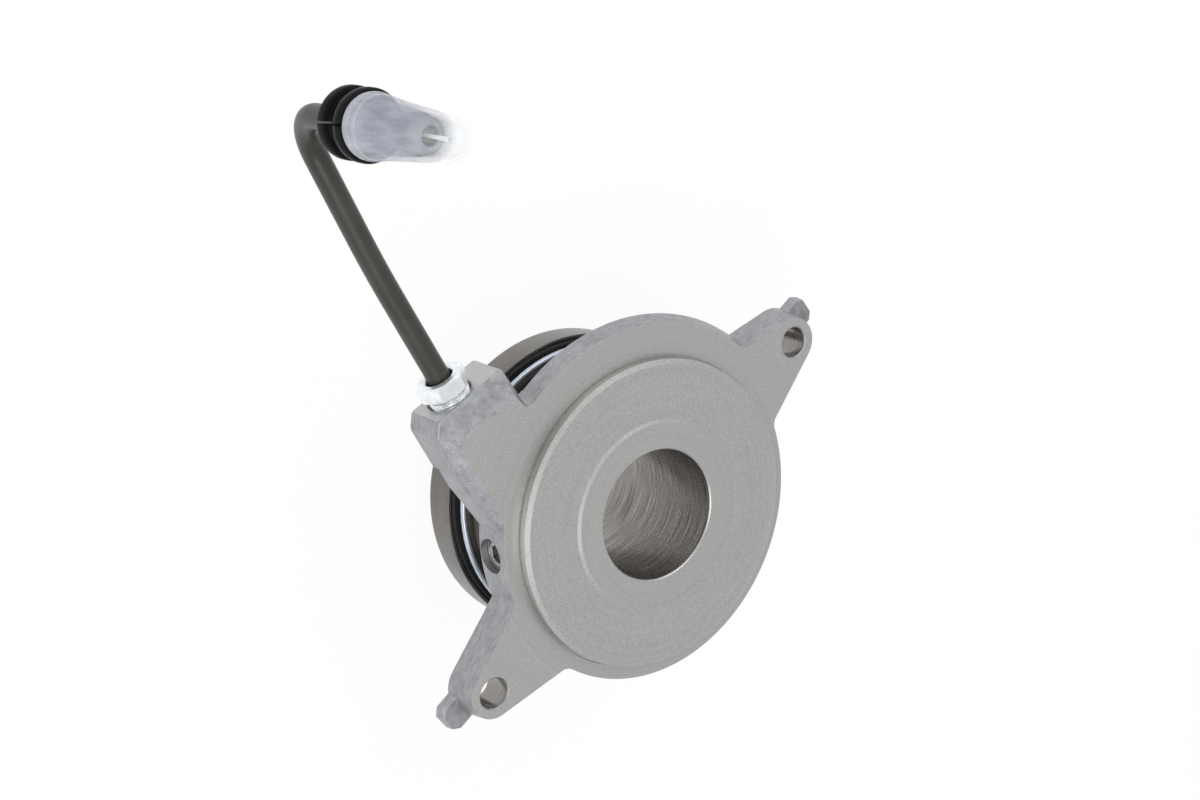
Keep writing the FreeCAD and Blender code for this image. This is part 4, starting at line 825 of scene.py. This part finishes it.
mouth = turned("mouth", [(0, -9), (3.1, -9), (3.1, NUT_TOP - 0.35), (3.5, NUT_TOP + 0.05), (3.5, 7),
                         (0, 7)], 96)
combine(nut, [mouth], "DIFFERENCE")
port_turn = Matrix.Rotation(-PORT_ANGLE, 4, "Z") @ Matrix.Rotation(-math.pi / 2, 4, "X")
nut.data.transform(Matrix.Translation(PORT * MM) @ port_turn)
smooth(nut, 28.0)
zinc_plate, tree, shader, place = new_material("White zinc plate")
skin = use_group(tree, mottle, place, Patch_Scale=420.0, Grain_Scale=3400.0)
height = weighted(tree, (skin["Grain"], 1.0), (skin["Patches"], 0.8))
feed(tree, shader, Metallic=0.75, Roughness=spread(tree, skin["Patches"], 0.0, 1.0, 0.34, 0.22),
     Base_Color=mix_colour(tree, skin["Patches"], (0.68, 0.71, 0.74), (0.86, 0.88, 0.9)),
     Normal=bump_node(tree, height, 0.35, 0.03 * MM, rounded(tree, 0.12 * MM)))
nut.data.materials.append(zinc_plate)
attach(nut, "housing")
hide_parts("pipe_nut")

# Supply pipe.
# Carries fluid from the line to the port: a long, barely bent run and one tight bend upwards.
# Drawn steel tube, flared in the port, with a dark olive-grey plastic coating that is
# satin, faintly dusty and nicked in a few places.
PIPE = 2.55
PIPE_WALL = 0.75
PIPE_SIDES = 40
PIPE_TOP = 42.0
PIPE_KINK = math.radians(2.9)
KINK_RADIUS = 300.0
BEND_RADIUS = 10.0
ahead = port_way
onward = Vector((math.sin(PORT_ANGLE + PIPE_KINK), math.cos(PORT_ANGLE + PIPE_KINK), 0.0))
upward = Vector((0.0, 0.0, 1.0))
kink_point = PORT + ahead * 33.0
corner_point = kink_point + onward * 36.2


def bent_path(start, corners, end, step=0.45):
    """Centre line of straight runs and tangent arcs: corners are (point, before, after, radius)."""
    line = [start]
    for point, before, after, radius in corners:
        turn_angle = before.angle(after)
        back = radius * math.tan(turn_angle / 2)
        axis = before.cross(after).normalized()
        first = point - before * back
        centre = first + axis.cross(before) * radius
        count = max(6, int(radius * turn_angle / step))
        for k in range(count + 1):
            line.append(centre + Matrix.Rotation(turn_angle * k / count, 3, axis) @ (first - centre))
    line.append(end)
    return line


centre_line = bent_path(PORT - ahead * 7.6, [
    (kink_point, ahead, onward, KINK_RADIUS), (corner_point, onward, upward, BEND_RADIUS)],
    Vector((corner_point.x, corner_point.y, PIPE_TOP)))
dense = [centre_line[0]]
for point in centre_line[1:]:
    begin = dense[-1]
    count = max(1, int((point - begin).length / 1.5))
    dense += [begin.lerp(point, (k + 1) / count) for k in range(count)]
bm = bmesh.new()
side = upward.cross(ahead).normalized()
previous = ahead
outside, inside = [], []
for k, point in enumerate(dense):
    heading = (dense[min(k + 1, len(dense) - 1)] - dense[max(k - 1, 0)]).normalized()
    side = (previous.rotation_difference(heading) @ side).normalized()
    previous = heading
    other = heading.cross(side)
    for wall, reach in ((outside, PIPE), (inside, PIPE - PIPE_WALL)):
        angles = [2 * math.pi * s / PIPE_SIDES for s in range(PIPE_SIDES)]
        wall.append([bm.verts.new(point + side * (reach * math.cos(a)) + other * (reach * math.sin(a)))
                     for a in angles])
wrap(bm, [[ring[s] for ring in outside + inside[::-1]] for s in range(PIPE_SIDES)], True)
pipe = smooth(to_object("supply_pipe", bm), 40.0)
coated_tube, tree, shader, place = new_material("Olive-grey tube coating")
skin = use_group(tree, mottle, place, Patch_Scale=90.0, Grain_Scale=1800.0)
nick_mask = spread(tree, noise_node(tree, place, 700.0, 1.0), 0.8, 0.82)
tint = mix_colour(tree, skin["Patches"], (0.025, 0.025, 0.02), (0.04, 0.039, 0.032))
height = weighted(tree, (skin["Grain"], 0.5), (skin["Patches"], 1.0))
feed(tree, shader, Base_Color=mix_colour(tree, nick_mask, tint, (0.3, 0.3, 0.29)), Specular_IOR_Level=0.4,
     Roughness=spread(tree, skin["Patches"], 0.0, 1.0, 0.36, 0.46),
     Normal=bump_node(tree, height, 0.4, 0.07 * MM))
pipe.data.materials.append(coated_tube)
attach(pipe, "housing")
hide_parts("pipe")

# Grommet.
# Seals the pipe's upright end where it passes the clutch housing's wall: two flanges and a
# narrow neck, slit down one side so that it goes over the pipe. Moulded black rubber.
END = (corner_point.x, corner_point.y)
SLIT_ANGLE = math.radians(137.0)
SLIT_HALF = 0.22
GROMMET_STEPS = 120
grommet_section = [
    (PIPE, 14.7), (6.3, 14.7), (6.65, 14.82), (6.85, 15.15), (6.85, 16.5), (6.7, 16.85), (6.3, 17.0),
    (5.5, 17.0), (5.3, 17.2), (5.3, 20.2), (5.5, 20.4), (6.3, 20.4), (6.7, 20.55), (6.85, 20.9),
    (6.85, 22.2), (6.65, 22.55), (6.3, 22.7), (PIPE, 22.7)]
bm = bmesh.new()
rings_round = []
for k in range(GROMMET_STEPS + 1):
    ring = []
    for reach, level in grommet_section:
        open_half = math.asin(SLIT_HALF / reach)
        a = SLIT_ANGLE + open_half + (2 * math.pi - 2 * open_half) * k / GROMMET_STEPS
        ring.append(bm.verts.new((END[0] + reach * math.cos(a), END[1] + reach * math.sin(a), level)))
    rings_round.append(ring)
wrap(bm, rings_round, False)
grommet = smooth(to_object("pipe_grommet_rubber", bm), 30.0)
grommet_rubber = plain_finish("Grommet rubber", (0.0045, 0.0045, 0.0055), (0.009, 0.009, 0.0105), 0.42,
                              patch=350.0, grain=3600.0, bump=0.05, shine=0.09)
grommet.data.materials.append(grommet_rubber)
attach(grommet, "housing")
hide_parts("pipe_grommet")

# End fitting.
# Plug-in stem at the pipe's end with a collar, a groove and its O-ring, seen dimly through
# the cap. Turned and plated steel; the O-ring is a plain grey-blue rubber.
fitting = smooth(turned("pipe_end_stem", [
    (2.6, 22.7), (4.5, 22.7), (4.7, 22.9), (4.7, 24.7), (4.5, 24.9), (3.35, 25.5), (3.35, 38.28), (2.7, 38.28),
    (2.7, 39.72), (3.35, 39.72), (3.35, 42.2), (2.55, 43.0), (1.8, 43.0), (1.8, 42.05), (2.6, 42.05)], 96,
    centre=END), 28.0)
fitting_steel = plain_finish("Fitting steel", (0.16, 0.175, 0.21), (0.26, 0.28, 0.33), 0.42, 0.5, patch=500.0)
fitting.data.materials.append(fitting_steel)
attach(fitting, "housing")
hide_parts("pipe_end_fitting")
pale_rubber = plain_finish("Pale O-ring rubber", (0.12, 0.13, 0.16), (0.18, 0.195, 0.23), 0.45, shine=0.3)
dressed("fitting_oring", pale_rubber)

# Transport cap.
# Keeps dirt out of the open pipe until it is fitted: beaded mouth, tapered body, round tip.
# Thin milky polyethylene that light comes through, clearer at the tip, with faint flow
# streaks along it and a small moulding gate inside.
CAP_BASE = 23.0
CAP_TIP = 52.3
CLEAR_FROM = 41.8
tip_out = []
tip_in = []
for k in range(9):
    a = math.radians(90.0 * k / 8)
    tip_out.append((4.15 * math.cos(a), CAP_TIP - 3.94 * (1 - math.sin(a))))
    tip_in.append((3.35 * math.cos(a), CAP_TIP - 0.8 - 3.14 * (1 - math.sin(a))))
tip_out[-1] = (0.0, CAP_TIP)
tip_in[-1] = (0.0, CAP_TIP - 0.8)
cap_section = [(6.0, CAP_BASE), (6.2, CAP_BASE + 0.12), (6.25, CAP_BASE + 0.4), (6.25, CAP_BASE + 1.1),
               (6.1, CAP_BASE + 1.35), (5.75, CAP_BASE + 1.5), (5.75, CAP_BASE + 2.4), (5.95, CAP_BASE + 2.6),
               (6.0, CAP_BASE + 2.8), (6.0, CAP_BASE + 3.6), (5.9, CAP_BASE + 3.95), (5.75, CAP_BASE + 4.2)]
cap_section += tip_out + tip_in[::-1]
cap_section += [(4.95, CAP_BASE + 4.2), (5.05, CAP_BASE)]
cap = turned("transport_cap_shell", cap_section, 128, centre=END)
gate = turned("gate", [(0.0, 37.0), (0.24, 37.3), (0.36, 42.0), (0.5, 51.8), (0.0, 51.8)], 24, centre=END)
combine(cap, [gate], "UNION")
smooth(cap, 40.0)
cap_plastic, tree, shader, place = new_material("Milky polyethylene")
skin = use_group(tree, mottle, place, Patch_Scale=260.0, Grain_Scale=1600.0)
flow = spread(tree, noise_node(tree, stretched(tree, place, 0.22), 520.0, 4.0, 0.6), 0.35, 0.65)
split = parts_of(tree, place)
clear_end = spread(tree, split["Z"], CLEAR_FROM * MM, (CLEAR_FROM + 3.0) * MM)
brim = spread(tree, split["Z"], (CAP_BASE + 4.2) * MM, (CAP_BASE + 3.8) * MM)
cloudy = mix_colour(tree, flow, (0.37, 0.4, 0.475), (0.5, 0.53, 0.61))
bright = mix_colour(tree, skin["Patches"], (0.82, 0.84, 0.86), (0.93, 0.94, 0.95))
off_axis = plan_distance(tree, math_node(tree, "SUBTRACT", split["X"], END[0] * MM),
                         math_node(tree, "SUBTRACT", split["Y"], END[1] * MM))
on_gate = both(tree, (off_axis, "LESS_THAN", 0.6 * MM), (split["Z"], "LESS_THAN", (CAP_TIP - 2.8) * MM))
pale = math_node(tree, "MAXIMUM", clear_end, product(tree, brim, 0.5))
pale = math_node(tree, "MAXIMUM", pale, on_gate)
haze = weighted(tree, (spread(tree, clear_end, 0.0, 1.0, 0.46, 0.14), 1.0),
                (math_node(tree, "SUBTRACT", flow, 0.5), 0.1))
feed(tree, shader, Base_Color=mix_colour(tree, pale, cloudy, bright),
     Roughness=spread(tree, flow, 0.0, 1.0, 0.16, 0.26),
     Alpha=math_node(tree, "MAXIMUM", haze, product(tree, on_gate, 0.9)),
     Normal=bump_node(tree, skin["Patches"], 0.25, 0.06 * MM))
cap.data.materials.append(cap_plastic)
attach(cap, "cap")
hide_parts("transport_cap")

# Studio.
# White floor, two broad soft lamps, a pale surround, and the camera above the mounting face,
# turned so that the pipe runs up left.
FLOOR_LEVEL = -46.02
FLOOR_HALF = 4000.0
PAPER_GLOW = 0.93
bm = bmesh.new()
bmesh.ops.create_grid(bm, x_segments=1, y_segments=1, size=FLOOR_HALF)
for vert in bm.verts:
    vert.co.z = FLOOR_LEVEL
floor = to_object("floor", bm)
floor_white, tree, shader, place = new_material("Floor paper")
feed(tree, shader, Base_Color=(0.86, 0.86, 0.86, 1.0), Roughness=0.9)
rays = add(tree, "ShaderNodeLightPath").outputs
strength = math_node(tree, "ADD", product(tree, rays["Is Glossy Ray"], 0.2), 1.0)
glow = add(tree, "ShaderNodeEmission", Color=(1.0, 1.0, 1.0, 1.0), Strength=strength)
seen = math_node(tree, "MAXIMUM", rays["Is Camera Ray"], rays["Is Glossy Ray"])
seen = math_node(tree, "MAXIMUM", seen, rays["Is Transmission Ray"])
paper = add(tree, "ShaderNodeMixShader", Fac=product(tree, seen, PAPER_GLOW))
tree.links.new(shader.outputs["BSDF"], paper.inputs[1])
tree.links.new(glow.outputs["Emission"], paper.inputs[2])
feed(tree, tree.nodes["Material Output"], Surface=paper.outputs["Shader"])
floor.data.materials.append(floor_white)


def lamp(name, where, target, size, power):
    """Square soft lamp aimed at a point, in metres."""
    data = bpy.data.lights.new(name, "AREA")
    data.shape = "SQUARE"
    data.size = size
    data.energy = power
    made = bpy.data.objects.new(name, data)
    bpy.context.scene.collection.objects.link(made)
    made.location = where
    made.rotation_euler = (Vector(target) - Vector(where)).to_track_quat("-Z", "Y").to_euler()


AIM = (0.0, 0.02, 0.0)
lamp("key", (-0.55, 0.15, 0.75), AIM, 0.6, 4.2)
lamp("fill", (0.55, 0.5, 0.6), AIM, 0.8, 3.2)

world = bpy.data.worlds.new("Surround")
bpy.context.scene.world = world
world.use_nodes = True
feed(world.node_tree, world.node_tree.nodes["Background"], Color=(0.97, 0.98, 1.0, 1.0), Strength=0.75)

SENSOR = 36.0
IMAGE_WIDTH = 1200.0
FOCAL_PIXELS = 1887.2
STAND = Vector((-0.1136, 0.2545, 0.3199))
camera_data = bpy.data.cameras.new("camera")
camera_data.sensor_fit = "HORIZONTAL"
camera_data.sensor_width = SENSOR
camera_data.lens = SENSOR * FOCAL_PIXELS / IMAGE_WIDTH
camera_data.clip_start = 0.01
camera = bpy.data.objects.new("camera", camera_data)
bpy.context.scene.collection.objects.link(camera)
look = Vector((0.2940, -0.5483, -0.7829)).normalized()
up = Vector((0.7164, 0.6687, -0.1993))
up = (up - look * up.dot(look)).normalized()
turn = Matrix((look.cross(up), up, -look)).transposed()
camera.matrix_world = Matrix.Translation(STAND) @ turn.to_4x4()
bpy.context.scene.camera = camera
bpy.context.scene.view_settings.view_transform = "Standard"
